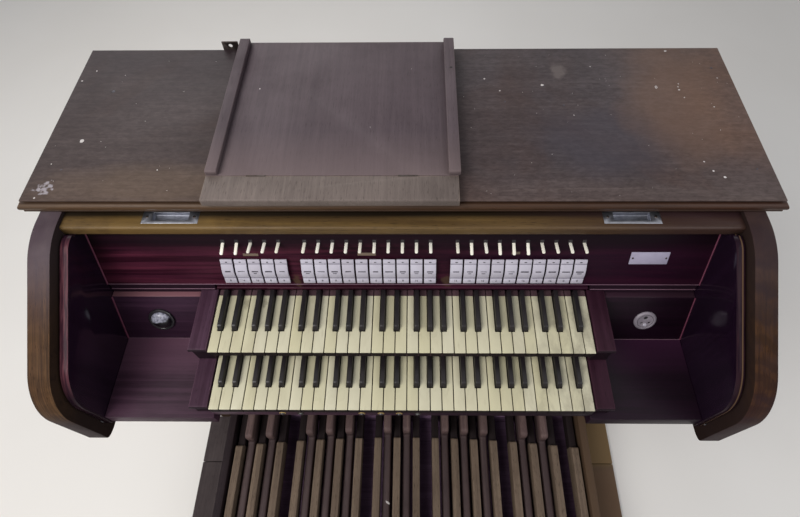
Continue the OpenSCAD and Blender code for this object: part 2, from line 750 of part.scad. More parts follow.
// Side view of a key block between two heights, with its front at y = front
module key_block_outline(front, foot, top) {
    polygon(concat([[front + block_undercut, foot]],
        [[front + block_undercut, top - 2 * block_nose - 3]],
        arc(front + block_nose, top - block_nose, block_nose, 250, 90, 10),
        [[manual_back_y, top], [manual_back_y, foot]]));
}
module lower_key_blocks() {
    color([0.3, 0.11, 0.13])
    at_floor() both_sides() along_x(block_in_x, block_out_x)
        key_block_outline(1, -bed_drop, block_rise);
}
module upper_key_blocks() {
    color([0.3, 0.11, 0.13])
    at_floor() both_sides() along_x(block_in_x, block_out_x)
        key_block_outline(manual_step_y + 1, block_rise, manual_step_z + block_rise);
}
module key_frames() {
    color([0.45, 0.35, 0.24])
    at_floor() {
        box([-block_in_x, manual_step_y + 12, block_rise + 8],
            [block_in_x, manual_back_y, manual_step_z - natural_t]);
        box([-block_in_x, -bed_nose + bed_cutback, -bed_drop],
            [block_in_x, manual_back_y, -natural_t]);
    }
}
slip_front_y = 1;
module key_slip() {
    color([0.2, 0.09, 0.1])
    at_floor() difference() {
        box([-block_in_x, slip_front_y, -bed_drop],
            [block_in_x, -bed_nose + bed_cutback, -natural_t - 0.5]);
        for (x = PISTON_X) translate([x, slip_front_y - 1, piston_z]) rotate([-90, 0, 0])
            cylinder(d = piston_d + 0.6, h = 9);
    }
}
piston_z = -natural_t - 0.5 - piston_ring_d / 2 - 1.5;
module thumb_pistons() {
    color([0.75, 0.62, 0.35])
    at_floor() for (x = PISTON_X) translate([x, slip_front_y, piston_z]) rotate([90, 0, 0]) {
        translate([0, 0, -6]) cylinder(d = piston_d, h = 10);
        cylinder(d = piston_ring_d, h = 1.5);
    }
}

module pedal_naturals() {
    color([0.47, 0.42, 0.35])
    at_floor() for (i = [0:pedals_n - 1]) {
        x = (i - (pedals_n - 1) / 2) * pedal_pitch;
        top = pedal_top(x);
        along_x(x - pedal_w / 2, x + pedal_w / 2) polygon(concat(
            [[pedal_near_y, pedal_under(x)], [pedal_near_y, top - 3], [pedal_near_y + 3, top]],
            arc(pedal_end(x) - 6, top - 6, 6, 90, 0, 6),
            [[pedal_end(x), top - pedal_cap_h], [pedal_far_y, top - pedal_cap_h],
             [pedal_far_y, pedal_under(x)]]));
    }
}
function pedal_sharp_x(i) = sharp_x(i, pedals_n, pedal_pitch) - SHARP_SHIFT[i % 7] * pedal_pitch;
module pedal_sharps() {
    nose = 14;
    color([0.42, 0.36, 0.32])
    at_floor() for (i = [0:pedals_n - 1]) if (has_sharp(i, pedals_n)) {
        x = pedal_sharp_x(i);
        top = pedal_top(x) + pedal_sharp_h;
        near = pedal_end(x) + pedal_sharp_back;
        along_x(x - pedal_sharp_w / 2, x + pedal_sharp_w / 2) polygon(concat(
            [[pedal_near_y, pedal_under(x)], [pedal_near_y, pedal_top(x) - pedal_cap_h],
             [near, pedal_top(x) - pedal_cap_h]],
            arc(near + nose, top - nose, nose, 180, 90, 8),
            [[pedal_far_y, top - 4], [pedal_far_y, pedal_under(x)]]));
    }
}

pedal_side_top = pedal_top(pedal_half_w) + 12;
module pedal_cheek_outline() {
    r = 60;
    polygon(concat([[pedal_front_y, floor_z]],
        arc(pedal_front_y + r, pedal_side_top - r, r, 180, 90, 12),
        [[pedal_far_y + pedal_board_t, pedal_side_top], [pedal_far_y + pedal_board_t, floor_z]]));
}
module pedal_cheek_right() {
    color([0.3, 0.24, 0.2])
    at_floor() along_x(pedal_cheek_in, pedal_cheek_out) pedal_cheek_outline();
}
module pedal_cheek_left() {
    color([0.3, 0.24, 0.2])
    at_floor() along_x(-pedal_cheek_out, -pedal_cheek_in) pedal_cheek_outline();
}
// Outline, seen from the front, of a board between the pedalboard's cheeks with a hollow top
module hollow_board(drop) {
    polygon(concat([[-pedal_cheek_in, floor_z]],
        [for (k = [0:24]) let (x = pedal_cheek_in * (k / 12 - 1)) [x, pedal_top(x) - drop]],
        [[pedal_cheek_in, floor_z]]));
}
module across_y(y0, y1) {
    translate([0, y1, 0]) rotate([90, 0, 0]) linear_extrude(y1 - y0) children();
}
module pedal_heel_board() {
    color([0.32, 0.26, 0.21])
    at_floor() across_y(pedal_front_y, pedal_front_y + pedal_board_t) hollow_board(10);
}
module pedal_toe_board() {
    color([0.32, 0.26, 0.21])
    at_floor() across_y(pedal_far_y + seat_gap, pedal_far_y + pedal_board_t) hollow_board(0);
}
// The rails under the pedal keys, with a flat seat for each key, and the boards between them
function seat_points() = [for (i = [0:pedals_n - 1]) each concat(
    let (x = (i - (pedals_n - 1) / 2) * pedal_pitch)
        [[x - pedal_w / 2, pedal_under(x)], [x + pedal_w / 2, pedal_under(x)]],
    has_sharp(i, pedals_n) ? let (x = pedal_sharp_x(i))
        [[x - pedal_sharp_w / 2, pedal_under(x)], [x + pedal_sharp_w / 2, pedal_under(x)]] : [])];
module pedal_rails() {
    first = pedal_near_y + pedal_rail_in;
    last = pedal_far_y - pedal_rail_in - pedal_rail_w;
    color([0.3, 0.25, 0.2])
    at_floor() {
        for (y = [first, (first + last) / 2, last])
            across_y(y, y + pedal_rail_w) polygon(concat([[-pedal_cheek_in, floor_z]],
                [[-pedal_cheek_in, pedal_under(-pedal_half_w)]], seat_points(),
                [[pedal_cheek_in, pedal_under(pedal_half_w)], [pedal_cheek_in, floor_z]]));
        for (y = [first, (first + last) / 2])
            box([-pedal_cheek_in, y + pedal_rail_w + seat_gap, floor_z],
                [pedal_cheek_in, y + (last - first) / 2 - seat_gap, floor_z + pedal_bottom_t]);
    }
}

module floor_board() {
    for (y = [[pedal_front_y, floor_joint_y], [floor_joint_y + 2, case_front_y]])
        box([pedal_cheek_out, y[0], floor_z], [floor_board_x, y[1], floor_z + floor_board_t]);
}
module floor_boards() { color([0.4, 0.38, 0.34]) at_floor() both_sides() floor_board(); }

module lower_side() {
    difference() {
        box([cheek_in_x, case_front_y, floor_z], [lower_side_out, back_y, -cheek_drop]);
        box([lower_side_out - field_depth, case_front_y + stile_w, floor_z + stile_w + plinth_h],
            [lower_side_out + 1, back_y - stile_w, -cheek_drop - stile_w]);
    }
}
module lower_side_right() { color([0.34, 0.25, 0.17]) at_floor() lower_side(); }
module lower_side_left() {
    color([0.34, 0.25, 0.17]) at_floor() mirror([1, 0, 0]) lower_side();
}

module knee_board() {
    third = (2 * cheek_in_x - 4 * stile_w) / 3;
    color([0.32, 0.24, 0.16])
    at_floor() difference() {
        box([-cheek_in_x, knee_y, floor_z], [cheek_in_x, knee_y + knee_t, bed_bottom_z]);
        for (k = [0:2]) let (x = -cheek_in_x + stile_w + k * (third + stile_w))
            box([x, knee_y - 1, floor_z + plinth_h + stile_w],
                [x + third, knee_y + field_depth, bed_bottom_z - stile_w]);
    }
}
module plinth_rails() {
    color([0.28, 0.2, 0.14])
    at_floor() {
        box([-cheek_in_x, knee_y - plinth_t, floor_z],
            [cheek_in_x, knee_y, floor_z + plinth_h]);
        box([-cheek_in_x, back_y - plinth_t, floor_z],
            [cheek_in_x, back_y, floor_z + plinth_h]);
    }
}
module back_panel() {
    foot_in_x = top_half_w - moulding_w;
    third = (2 * cheek_out_x - 4 * stile_w) / 3;
    color([0.33, 0.25, 0.18])
    at_floor() difference() {
        union() {
            box([-cheek_out_x, back_y, floor_z], [cheek_out_x, back_y + back_t, moulding_foot_z]);
            box([-foot_in_x, back_y, 0], [foot_in_x, back_y + back_t, top_z - top_board_t]);
        }
        for (k = [0:2]) let (x = -cheek_out_x + stile_w + k * (third + stile_w))
            for (z = [[floor_z + plinth_h + stile_w, -cheek_drop - stile_w],
                      [-cheek_drop, moulding_foot_z - stile_w]])
                box([x, back_y + back_t - field_depth, z[0]], [x + third, back_y + back_t + 1, z[1]]);
    }
}

top_board();
top_moulding();
music_ledge();
music_panel();
music_battens();
music_hinges();
top_bracket();
cheek_left();
cheek_right();
lining_left();
lining_right();
groove_stops();
shutter_rail();
shutter_slats();
pull_plates();
stop_rail();
stop_tabs();
setter_levers();
name_plate();
side_panels();
round_lamp();
round_socket();
key_bed();
upper_naturals();
upper_sharps();
lower_naturals();
lower_sharps();
upper_key_blocks();
lower_key_blocks();
key_frames();
key_slip();
thumb_pistons();
pedal_naturals();
pedal_sharps();
pedal_cheek_left();
pedal_cheek_right();
pedal_heel_board();
pedal_toe_board();
pedal_rails();
floor_boards();
lower_side_left();
lower_side_right();
knee_board();
plinth_rails();
back_panel();
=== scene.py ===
# %% [markdown]
# # A two-manual organ console
# The lesson dresses a plain construction model of an organ console: a roll-top keydesk on a
# closed oak case, with two manuals, a row of stop tabs and a concave pedalboard. The
# construction model gives every place and size. What is added here is what the eye looks
# for: rounded arrises, veneer and mahogany, ivory and ebony keys, screws, wear and paint.

# %% Load the construction model
import math
import random

import bmesh
import bpy
from mathutils import Euler, Matrix, Vector


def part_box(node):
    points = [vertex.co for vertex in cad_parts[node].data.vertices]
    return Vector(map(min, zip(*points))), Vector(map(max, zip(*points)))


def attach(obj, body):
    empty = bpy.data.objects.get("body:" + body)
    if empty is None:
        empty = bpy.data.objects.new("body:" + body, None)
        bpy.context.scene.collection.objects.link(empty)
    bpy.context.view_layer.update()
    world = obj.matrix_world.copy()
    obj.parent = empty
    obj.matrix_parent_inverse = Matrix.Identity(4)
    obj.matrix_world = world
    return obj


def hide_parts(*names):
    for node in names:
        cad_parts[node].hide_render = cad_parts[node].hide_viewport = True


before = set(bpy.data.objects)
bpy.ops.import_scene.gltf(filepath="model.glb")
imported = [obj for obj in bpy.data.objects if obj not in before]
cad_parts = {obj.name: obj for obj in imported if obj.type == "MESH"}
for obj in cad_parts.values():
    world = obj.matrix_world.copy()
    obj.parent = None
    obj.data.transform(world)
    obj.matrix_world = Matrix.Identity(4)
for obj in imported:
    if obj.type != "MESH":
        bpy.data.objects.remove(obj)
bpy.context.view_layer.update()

# %% [markdown]
# Everything on the keydesk is measured from the keys, as an organ builder does: y = 0 is the
# front edge of the lower naturals and z = 0 is their top. Two corners of the lower naturals
# give that origin, so the lesson follows the construction model if it moves.

# %% Measure from the keys, in millimetres
KEYS_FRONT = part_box("lower_naturals")[0].y
KEYS_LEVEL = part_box("lower_naturals")[1].z
MM = 0.001


def spot(x, y, z):
    """A place in the keydesk's own millimetres, as a place in the scene."""
    return Vector((x * MM, KEYS_FRONT + y * MM, KEYS_LEVEL + z * MM))


def leaning(foot_y, foot_z, lean):
    """Turns [x, out, up] millimetres on a leaning board's face into scene places."""
    a = math.radians(lean)
    turn = Matrix(((1, 0, 0), (0, -math.cos(a), math.sin(a)), (0, math.sin(a), math.cos(a))))
    return Matrix.Translation(spot(0, foot_y, foot_z)) @ turn.to_4x4() @ Matrix.Scale(MM, 4)


STOP_FACE = leaning(235.5, 88, 23)
SIDE_FACE = leaning(169.5, -44, 25.4)
print("keys start at y =", round(KEYS_FRONT, 4), "and lie at z =", round(KEYS_LEVEL, 4))

# %% [markdown]
# ## The camera
# The console is seen from above the organist's head, steeply down. Pitch, yaw and roll were
# fitted to some thirty points of the model, such as the ends of the keys and the corners
# of the top.

# %% Camera
camera_data = bpy.data.cameras.new("organist_eye")
camera_data.sensor_width = 36
camera_data.lens = 518.14 / 800 * 36
camera_data.shift_x = -9.12 / 800
camera = bpy.data.objects.new("organist_eye", camera_data)
bpy.context.collection.objects.link(camera)
camera.location = spot(29.03, -272.55, 1039.03)
camera.rotation_euler = (
    Matrix.Rotation(math.radians(1.37), 3, "Z")
    @ Matrix.Rotation(math.radians(90 - 58.98), 3, "X")
    @ Matrix.Rotation(math.radians(-1.12), 3, "Z")
).to_euler()
bpy.context.scene.camera = camera
print("camera at", [round(c, 3) for c in camera.location])

# %% [markdown]
# ## Materials are built from nodes
# A finish is a chain of small nodes. `Finish` keeps one such chain: `put` adds a node, sets
# its sockets from numbers or from other nodes, and hands back the node. Numbers that are
# the same all over are written straight on the shader.

# %% A bench for finishes


def colour(r, g, b):
    """A colour given as 0 to 255, as a paint chart gives it, made linear for the shader."""
    def lin(c):
        c /= 255
        return c / 12.92 if c <= 0.04045 else ((c + 0.055) / 1.055) ** 2.4
    return (lin(r), lin(g), lin(b), 1.0)


WHITE = (1.0, 1.0, 1.0, 1.0)


class Finish:
    def __init__(self, title, rough, **fixed):
        self.material = bpy.data.materials.new(title)
        self.material.use_nodes = True
        self.tree = self.material.node_tree
        self.tree.nodes.clear()
        self.shader = self.put("ShaderNodeBsdfPrincipled", Roughness=rough, **fixed)
        out = self.put("ShaderNodeOutputMaterial")
        self.tree.links.new(self.shader.outputs["BSDF"], out.inputs["Surface"])
        self.place = self.put("ShaderNodeTexCoord").outputs["Object"]

    def put(self, kind, settings=None, **sockets):
        """Adds a node. Its sockets are given by name, or by number as i0, i1 and so on."""
        node = self.tree.nodes.new(kind)
        for name, value in (settings or {}).items():
            setattr(node, name, value)
        for name, value in sockets.items():
            key = int(name[1:]) if name[1:].isdigit() else name.replace("_", " ")
            self.feed(node.inputs[key], value)
        return node

    def feed(self, socket, value):
        if isinstance(value, bpy.types.NodeSocket):
            self.tree.links.new(value, socket)
        elif (isinstance(value, (tuple, list)) and len(value) == 3
              and len(socket.default_value) == 4):
            socket.default_value = (*value, 1)
        else:
            socket.default_value = value

    def noise(self, scale, detail=3, stretch=(1, 1, 1), twist=0.0, rough=0.5, at=(0, 0, 0)):
        moved = self.put("ShaderNodeMapping", Vector=self.place, Scale=stretch, Location=at)
        node = self.put("ShaderNodeTexNoise", Vector=moved.outputs[0], Scale=scale,
                        Detail=detail, Roughness=rough, Distortion=twist)
        return node.outputs["Fac"]

    def span(self, fac, a, b, lo=0.0, hi=1.0):
        """Runs from lo to hi while fac runs from a to b."""
        return self.put("ShaderNodeMapRange", i0=fac, i1=a, i2=b, i3=lo, i4=hi).outputs[0]

    def mix(self, fac, a, b, how="MIX"):
        kind = {"data_type": "RGBA", "blend_type": how}
        return self.put("ShaderNodeMix", kind, i0=fac, i6=a, i7=b).outputs[2]

    def math(self, how, a, b=0.0, clamp=False):
        kind = {"operation": how, "use_clamp": clamp}
        return self.put("ShaderNodeMath", kind, i0=a, i1=b).outputs[0]

    def both(self, a, b):
        """The product of two masks, or of a mask and its strength."""
        return self.math("MULTIPLY", a, b, True)

    def vector(self, how, a, b, out=0):
        return self.put("ShaderNodeVectorMath", {"operation": how}, i0=a, i1=b).outputs[out]

    def axis(self, name):
        """One coordinate of the place, in metres."""
        return self.put("ShaderNodeSeparateXYZ", Vector=self.place).outputs["XYZ".index(name)]

    def across(self, name, a, b, lo=0.0, hi=1.0):
        """Runs from lo to hi between two places along an axis, in keydesk millimetres."""
        ends = [getattr(spot(v, v, v), name.lower()) for v in (a, b)]
        return self.span(self.axis(name), *ends, lo, hi)

    def around(self, x, y, z, rx, ry, ragged=0.35, scale=30.0):
        """A soft ragged patch round a place, 1 in its middle and 0 outside."""
        apart = self.vector("SUBTRACT", self.place, tuple(spot(x, y, z)))
        sized = self.vector("DIVIDE", apart, (rx * MM, ry * MM, 1.0))
        far = self.put("ShaderNodeVectorMath", {"operation": "LENGTH"}, i0=sized).outputs["Value"]
        torn = self.span(self.noise(scale, 4), 0.3, 0.7, -ragged, ragged)
        return self.span(self.math("ADD", far, torn), 1.0, 0.45)

    def tinted(self, body, tone):
        return self.mix(1.0, body, tone, "MULTIPLY")

    def shaded(self, body, a, b, tone):
        """Tints the body more and more from place a to place b across the console."""
        return self.tinted(body, self.mix(self.across("X", a, b), WHITE, tone))

    def patch(self, body, strength, tone, *where):
        """Lays a tone over a ragged patch. The rest is what `around` takes."""
        return self.mix(self.both(self.around(*where), strength), body, tone)

    def facing(self, x, y, z):
        """How far a surface faces along a fixed direction of the object, 0 to 1."""
        normal = self.put("ShaderNodeNewGeometry").outputs["Normal"]
        return self.vector("DOT_PRODUCT", normal, (x, y, z), "Value")

    def arris(self, width, keen=6.0):
        """1 on rounded edges, 0 on flats: the place where hands and cloths rub."""
        true = self.put("ShaderNodeNewGeometry").outputs["Normal"]
        soft = self.put("ShaderNodeBevel", {"samples": 4}, Radius=width).outputs[0]
        return self.span(self.vector("DOT_PRODUCT", true, soft, "Value"), 1.0, 1.0 - 1.0 / keen)

    def bump(self, height, depth, strength=1.0):
        node = self.put("ShaderNodeBump", Height=height, Distance=depth, Strength=strength)
        self.feed(self.shader.inputs["Normal"], node.outputs[0])

    def colour_is(self, value):
        self.feed(self.shader.inputs["Base Color"], value)
        return self

    def rough_is(self, fac, lo, hi):
        self.feed(self.shader.inputs["Roughness"], self.span(fac, 0.25, 0.75, lo, hi))
        return self


print("bench for finishes is ready")

# %% [markdown]
# ## Wood
# All the wood shares one recipe. Fine streaks run along the grain, because the noise is
# squeezed across it and stretched along it. A slower, twisted noise gives the figure, a
# third one the cloudy differences of stain, and short dark pores are pressed in. Arrises
# are worn paler. Last comes what is particular to one place, such as a worn patch, or
# painted light and shade, such as a corner painted dark as shade.

# %% The wood recipe
GRAIN = {"x": (1, 30, 30), "y": (30, 1, 30), "z": (30, 30, 1), "curve": (30, 1.4, 1.4)}


def wood(title, pale, dark, grain="x", rough=(0.35, 0.55), figure=0.4, pore=0.5, worn=None,
         wear=0.5, relief=0.0003, fine=9.0, stain=None, shine=0.2, local=None):
    f = Finish(title, 0.5, Specular_IOR_Level=shine)
    pale, dark, squeeze = colour(*pale), colour(*dark), GRAIN[grain]
    streak = f.noise(fine, 4, squeeze, 0.3, 0.65)
    wave = f.noise(fine * 0.16, 3, squeeze, 1.6, 0.5, (3, 1, 2))
    cloud = f.noise(5.0, 4, (1, 1, 1), 0.4, 0.6, (7, 2, 5))
    body = f.mix(f.span(wave, 0.3, 0.7, 0.5 - figure / 2, 0.5 + figure / 2), dark, pale)
    body = f.mix(f.span(streak, 0.35, 0.65, 0.0, 0.45), body, dark)
    body = f.mix(f.span(cloud, 0.35, 0.7, 0.0, 0.55), body, f.mix(0.5, body, dark, "MULTIPLY"))
    if stain:
        blots = f.noise(2.3, 5, (1, 1, 1), 1.2, 0.6, (1, 6, 3))
        body = f.mix(f.span(blots, 0.5, 0.66, 0.0, 0.6), body, colour(*stain))
    pores = f.noise(fine * 6, 2, tuple(s ** 0.75 for s in squeeze), 0.0, 0.5, (5, 5, 1))
    pits = f.span(pores, 0.60, 0.68)
    body = f.mix(f.both(pits, pore), body, f.tinted(body, (0.25, 0.22, 0.2)))
    if worn:
        rub = f.both(f.arris(0.0035), f.span(f.noise(34.0, 3), 0.35, 0.6, 0.25, 1.0))
        body = f.mix(f.both(rub, wear), body, colour(*worn))
    if local:
        body = local(f, body)
    f.colour_is(body).rough_is(cloud, *rough)
    f.bump(f.mix(pits, streak, (0.0, 0.0, 0.0)), relief, 0.5)
    return f.material


TOP_PATCHES = (
    (0.45, (56, 53, 62), (400, 450, 285, 170, 110, 0.3, 6.0)),
    (0.4, (110, 84, 68), (560, 560, 285, 120, 200, 0.3, 6.0)),
    (0.2, (118, 98, 76), (-470, 345, 285, 230, 60, 0.3, 6.0)),
    (0.35, (126, 116, 112), (337, 654, 285, 21, 30, 0.3, 70.0)),
    (0.75, (154, 148, 154), (-663, 332, 285, 14, 13, 0.9, 110.0)),
    (0.9, (24, 19, 20), (-614, 593, 285, 9, 8)))


def weathered_and_sheened_top(f, body):
    """The top is painted paler and greyer in front as painted sheen, darker at the back, browner at
    its right end.
    """
    # Painted sheen: both halves are tinted paler in front and darker towards the back.
    left = f.mix(f.across("Y", 430, 690), colour(204, 198, 196), colour(158, 147, 158))
    left = f.mix(f.across("Y", 400, 310), left, colour(228, 216, 204))
    right = f.mix(f.across("Y", 400, 310), colour(224, 228, 234), colour(250, 244, 236))
    body = f.tinted(body, f.mix(f.across("X", -350, 250), left, right))
    browner_right = f.both(f.across("X", 430, 640), f.across("Y", 320, 470))
    browner_right = f.both(browner_right, f.span(f.noise(7.0, 4), 0.3, 0.65, 0.3, 0.65))
    body = f.mix(browner_right, body, colour(112, 84, 68))
    mottle = f.noise(38.0, 5, (1, 1.6, 1), 1.2, 0.7, (2, 8, 4))
    mottled = f.tinted(body, colour(196, 188, 188))
    body = f.mix(f.span(mottle, 0.42, 0.62, 0.0, 0.35), body, mottled)
    grain = f.noise(150.0, 3, (0.4, 1, 1), 0.4, 0.7)
    grained = f.tinted(body, colour(182, 176, 174))
    body = f.mix(f.span(grain, 0.36, 0.64, 0.0, 0.6), body, grained)
    for strength, tone, where in TOP_PATCHES:
        body = f.patch(body, strength, colour(*tone), *where)
    return body


def sheened_desk(f, body):
    """The desk is painted paler in front as painted sheen, darker at its far left back, and a sunk
    screw shows in its right batten.
    """
    # Painted sheen: paler towards the front edge.
    body = f.mix(f.across("Y", 460, 350, 0.0, 0.4), body, colour(122, 106, 104))
    far_left = f.both(f.across("X", -180, -340), f.across("Y", 500, 640))
    body = f.mix(far_left, body, f.tinted(body, colour(220, 212, 218)))
    return f.mix(f.around(103, 631, 314, 4.5, 4.5, 0.1), body, colour(36, 31, 33))


def shaded_moulding(f, body):
    """Painted shade lies in the quirk and under the bead, and the right end is painted darker as
    shade.
    """
    body = f.shaded(body, -300, 620, colour(190, 156, 148))
    # Painted shade in the quirk, and a painted shadow under the bead.
    quirk = f.both(f.across("Z", 277.2, 278.6), f.across("Z", 282.6, 281.6))
    body = f.mix(quirk, body, colour(36, 22, 18))
    return f.mix(f.across("Z", 266, 258, 0.0, 0.7), body, colour(40, 27, 22))


def shaded_and_handled_oak(f, body):
    """Grey under the top and golden where the curve is worn, with painted shade on the inner faces,
    at the foot and towards the right.
    """
    lines = f.noise(3.0, 4, (70, 2, 2), 0.6, 0.6, (4, 4, 1))
    body = f.mix(f.span(lines, 0.46, 0.6, 0.0, 0.6), body, colour(46, 32, 26))
    bands = {"wave_type": "BANDS", "bands_direction": "Z"}
    wavy = f.put("ShaderNodeTexWave", bands, Vector=f.place, Scale=14.0, Distortion=9.0,
                 Detail=3.0, Detail_Scale=1.2).outputs["Fac"]
    figured = f.both(f.across("X", 0, 600, 0.35, 1.0), f.span(wavy, 0.25, 0.75, 0.0, 0.5))
    body = f.mix(figured, body, colour(42, 30, 22))
    greys = f.mix(f.span(f.noise(12.0, 4), 0.35, 0.65), colour(66, 56, 64), colour(86, 76, 82))
    body = f.mix(f.across("Z", 165, 238, 0.0, 0.85), body, greys)
    # Painted shade: darker at the foot and towards the right.
    body = f.mix(f.across("Z", 62, -5, 0.0, 0.85), body, colour(38, 29, 34))
    body = f.shaded(body, -100, 300, colour(206, 190, 172))
    right = f.across("X", 0, 300)
    blotch = f.span(f.noise(15.0, 5, (1, 1, 1.6), 0.8, 0.6), 0.42, 0.62)
    body = f.mix(f.both(f.both(right, blotch), 0.55), body, colour(44, 34, 38))
    # Painted shade low on the right.
    low_right = f.both(right, f.across("Z", 170, 70, 0.0, 0.55))
    body = f.mix(low_right, body, colour(46, 28, 32))
    # Painted shade on the inner faces of the cheeks.
    sideways, reach = f.math("ABSOLUTE", f.facing(1, 0, 0)), f.math("ABSOLUTE", f.axis("X"))
    inner = f.both(f.span(sideways, 0.4, 0.8, 0.0, 0.8), f.span(reach, 0.66, 0.655))
    body = f.mix(inner, body, colour(34, 25, 22))
    outer = f.both(f.span(sideways, 0.8, 0.98), f.span(reach, 0.655, 0.66))
    straight = f.span(f.noise(2.4, 6, (1, 1.4, 46)), 0.36, 0.64)
    return f.mix(outer, body, f.mix(straight, colour(60, 44, 32), colour(92, 70, 49)))


def shaded_rail(f, body):
    """Golden oak, dark under the top and towards its right end."""
    body = f.patch(body, 0.3, colour(134, 106, 58), -440, 270, 248, 160, 90)
    body = f.mix(f.across("Y", 287, 298, 0.0, 0.92), body, colour(14, 9, 6))
    return f.mix(f.across("X", 150, 520, 0.0, 0.85), body, colour(46, 28, 30))


def edge_of_lining(f, body):
    """The front edge of a lining is redder, paler and duller than its polished face, darker towards
    the bottom, and painted paler on the left as painted light. Two thin painted highlights run
    along the right lining's edges.
    """
    facing = f.facing(0, -0.86, 0.51)
    front, edge_glint = f.span(facing, 0.3, 0.8), f.span(facing, 0.1, 0.4)
    f.feed(f.shader.inputs["Specular IOR Level"], f.span(front, 0.0, 0.5, 0.7, 0.05))
    stripe = f.span(f.noise(20.0, 3, (14, 1, 1)), 0.4, 0.6, 0.3, 1.0)
    # Painted light: the edge is paler on the left than on the right.
    tone = f.mix(f.across("X", -300, 300), colour(86, 50, 57), colour(46, 27, 34))
    tone = f.mix(f.across("Z", 112, 66), tone, colour(40, 26, 32))
    body = f.mix(f.both(front, stripe), body, tone)
    # Painted highlights: a golden line at the groove and a pale line at the inner arris of the
    # right lining.
    outer = f.both(f.across("X", 624.4, 625.4), f.across("X", 627.8, 627.2))
    body = f.mix(f.both(edge_glint, outer), body, colour(104, 82, 64))
    inner = f.both(f.across("X", 613, 611.8), f.across("X", 0, 300))
    return f.mix(f.both(edge_glint, inner), body, colour(82, 64, 76))


def ribbons(f, body, strength=0.75):
    """Ribbon figure of mahogany, and a right-hand half darkened as painted shade."""
    band = f.noise(1.4, 3, (1.6, 52, 52), 0.7, 0.45, (9, 4, 2))
    dull = f.tinted(body, colour(126, 108, 130))
    body = f.mix(f.span(band, 0.42, 0.56, 0.0, strength), body, dull)
    # Painted shade: darker towards the right.
    return f.shaded(body, -250, 420, colour(186, 166, 184))


def shaded_stop_rail(f, body):
    """Dark along its top, with two patches where the finish is worn to the wood."""
    body = f.mix(f.across("X", -100, 350, 0.0, 0.5), ribbons(f, body), colour(40, 18, 36))
    body = f.mix(f.across("Z", 158, 186, 0.0, 0.9), body, colour(17, 7, 14))
    worn = f.math("MAXIMUM", f.around(-216, 240, 97, 11, 7, 0.5, 70.0),
                  f.around(92, 241, 100, 12, 6, 0.5, 70.0))
    return f.mix(f.both(worn, 0.8), body, colour(74, 56, 44))


def lit_top_edge(f, body):
    """The narrow edge on top of a panel is painted pale as painted light, paler on the left, and
    the panel is painted darker towards the right as shade.
    """
    # Painted light on the narrow upward edge, paler on the left; painted shade towards the right.
    tone = f.mix(f.across("X", -300, 300), colour(122, 84, 90), colour(50, 32, 42))
    body = f.shaded(ribbons(f, body, 0.3), -200, 200, colour(190, 176, 190))
    return f.mix(f.span(f.facing(0, 0.3, 0.95), 0.6, 0.9, 0.0, 0.9), body, tone)


def shaded_shelf(f, body):
    """The shelf is paler towards its back, and darker on the right as painted shade."""
    paler_back = f.across("Y", 80, 165, 0.0, 0.55)
    body = f.mix(paler_back, ribbons(f, body, 0.4), colour(108, 74, 92))
    return f.shaded(body, -200, 300, colour(160, 128, 170))


def along_arc(f, name, bow):
    """A coordinate of the pedalboard with its bow of so many millimetres taken out."""
    half = f.math("DIVIDE", f.axis("X"), PEDAL_HALF * MM)
    return f.math("ADD", f.math("MULTIPLY", f.math("POWER", half, 2.0), bow * MM), f.axis(name))


def dark_below(f, body):
    """The bodies of the sharps lie low between the caps and are painted dark as shade."""
    level = spot(0, 0, PEDAL_TOP).z
    low = f.span(along_arc(f, "Z", -PEDAL_RISE), level + 0.002, level - 0.002, 0.0, 0.6)
    return f.mix(low, body, colour(38, 30, 34))


def dark_past_caps(f, body):
    """Past the far end of a cap the natural's body is nearly black."""
    start, end = spot(0, PEDAL_END + 0.5, 0).y, spot(0, PEDAL_END + 2, 0).y
    past = f.span(along_arc(f, "Y", PEDAL_ARC), start, end, 0.0, 0.93)
    return f.mix(past, body, colour(20, 14, 20))


def shaded_block(f, body):
    """The upright fronts of the blocks are painted dark as shade, and the blocks darker towards the
    right.
    """
    # Painted shade on the upright fronts under the noses.
    front = f.span(f.facing(0, -1, 0), 0.35, 0.7, 0.0, 0.9)
    body = f.shaded(body, -100, 300, colour(190, 160, 170))
    return f.mix(front, body, colour(22, 13, 20))


def paler_right(f, body):
    """The right-hand side of the pedal frame is browner and paler."""
    return f.mix(f.across("X", 450, 560, 0.0, 0.7), body, colour(96, 76, 58))


def patchy_boards(f, body):
    """Golden where the polish is left on the right, grey on the left."""
    gold = f.both(f.across("X", 520, 600), f.across("Y", 20, 46))
    body = f.mix(f.both(gold, 0.85), body, colour(122, 99, 67))
    brown = f.both(f.across("X", 500, 560), f.across("Y", 46, 20, 0.0, 0.8))
    return f.mix(brown, body, colour(110, 87, 67))


# The pedalboard: half its width, the bow of its cap ends and where they end, the caps'
# level in the middle and how far they rise at the sides.
PEDAL_HALF, PEDAL_ARC, PEDAL_END, PEDAL_TOP, PEDAL_RISE = 544, 38, 110, -760, 45
veneer = wood("veneer_of_the_top", (106, 95, 94), (73, 63, 65), "x", (0.5, 0.66), 0.5, 0.35,
              (116, 98, 88), 0.4, 0.0002, 10.0, (80, 60, 54), 0.2, weathered_and_sheened_top)
moulded = wood("moulding_of_the_top", (100, 74, 48), (52, 35, 24), "x", (0.4, 0.55), 0.5, 0.4,
               (132, 106, 74), 0.6, shine=0.22, local=shaded_moulding)
desk_wood = wood("music_desk_veneer", (94, 82, 86), (68, 58, 63), "y", (0.5, 0.66), 0.35, 0.3,
                 (122, 104, 98), 0.5, 0.0002, local=sheened_desk)
ledge_wood = wood("music_ledge_wood", (128, 116, 110), (90, 80, 76), "y", (0.5, 0.66), 0.3, 0.5,
                  (140, 122, 106), 0.5, 0.0004)
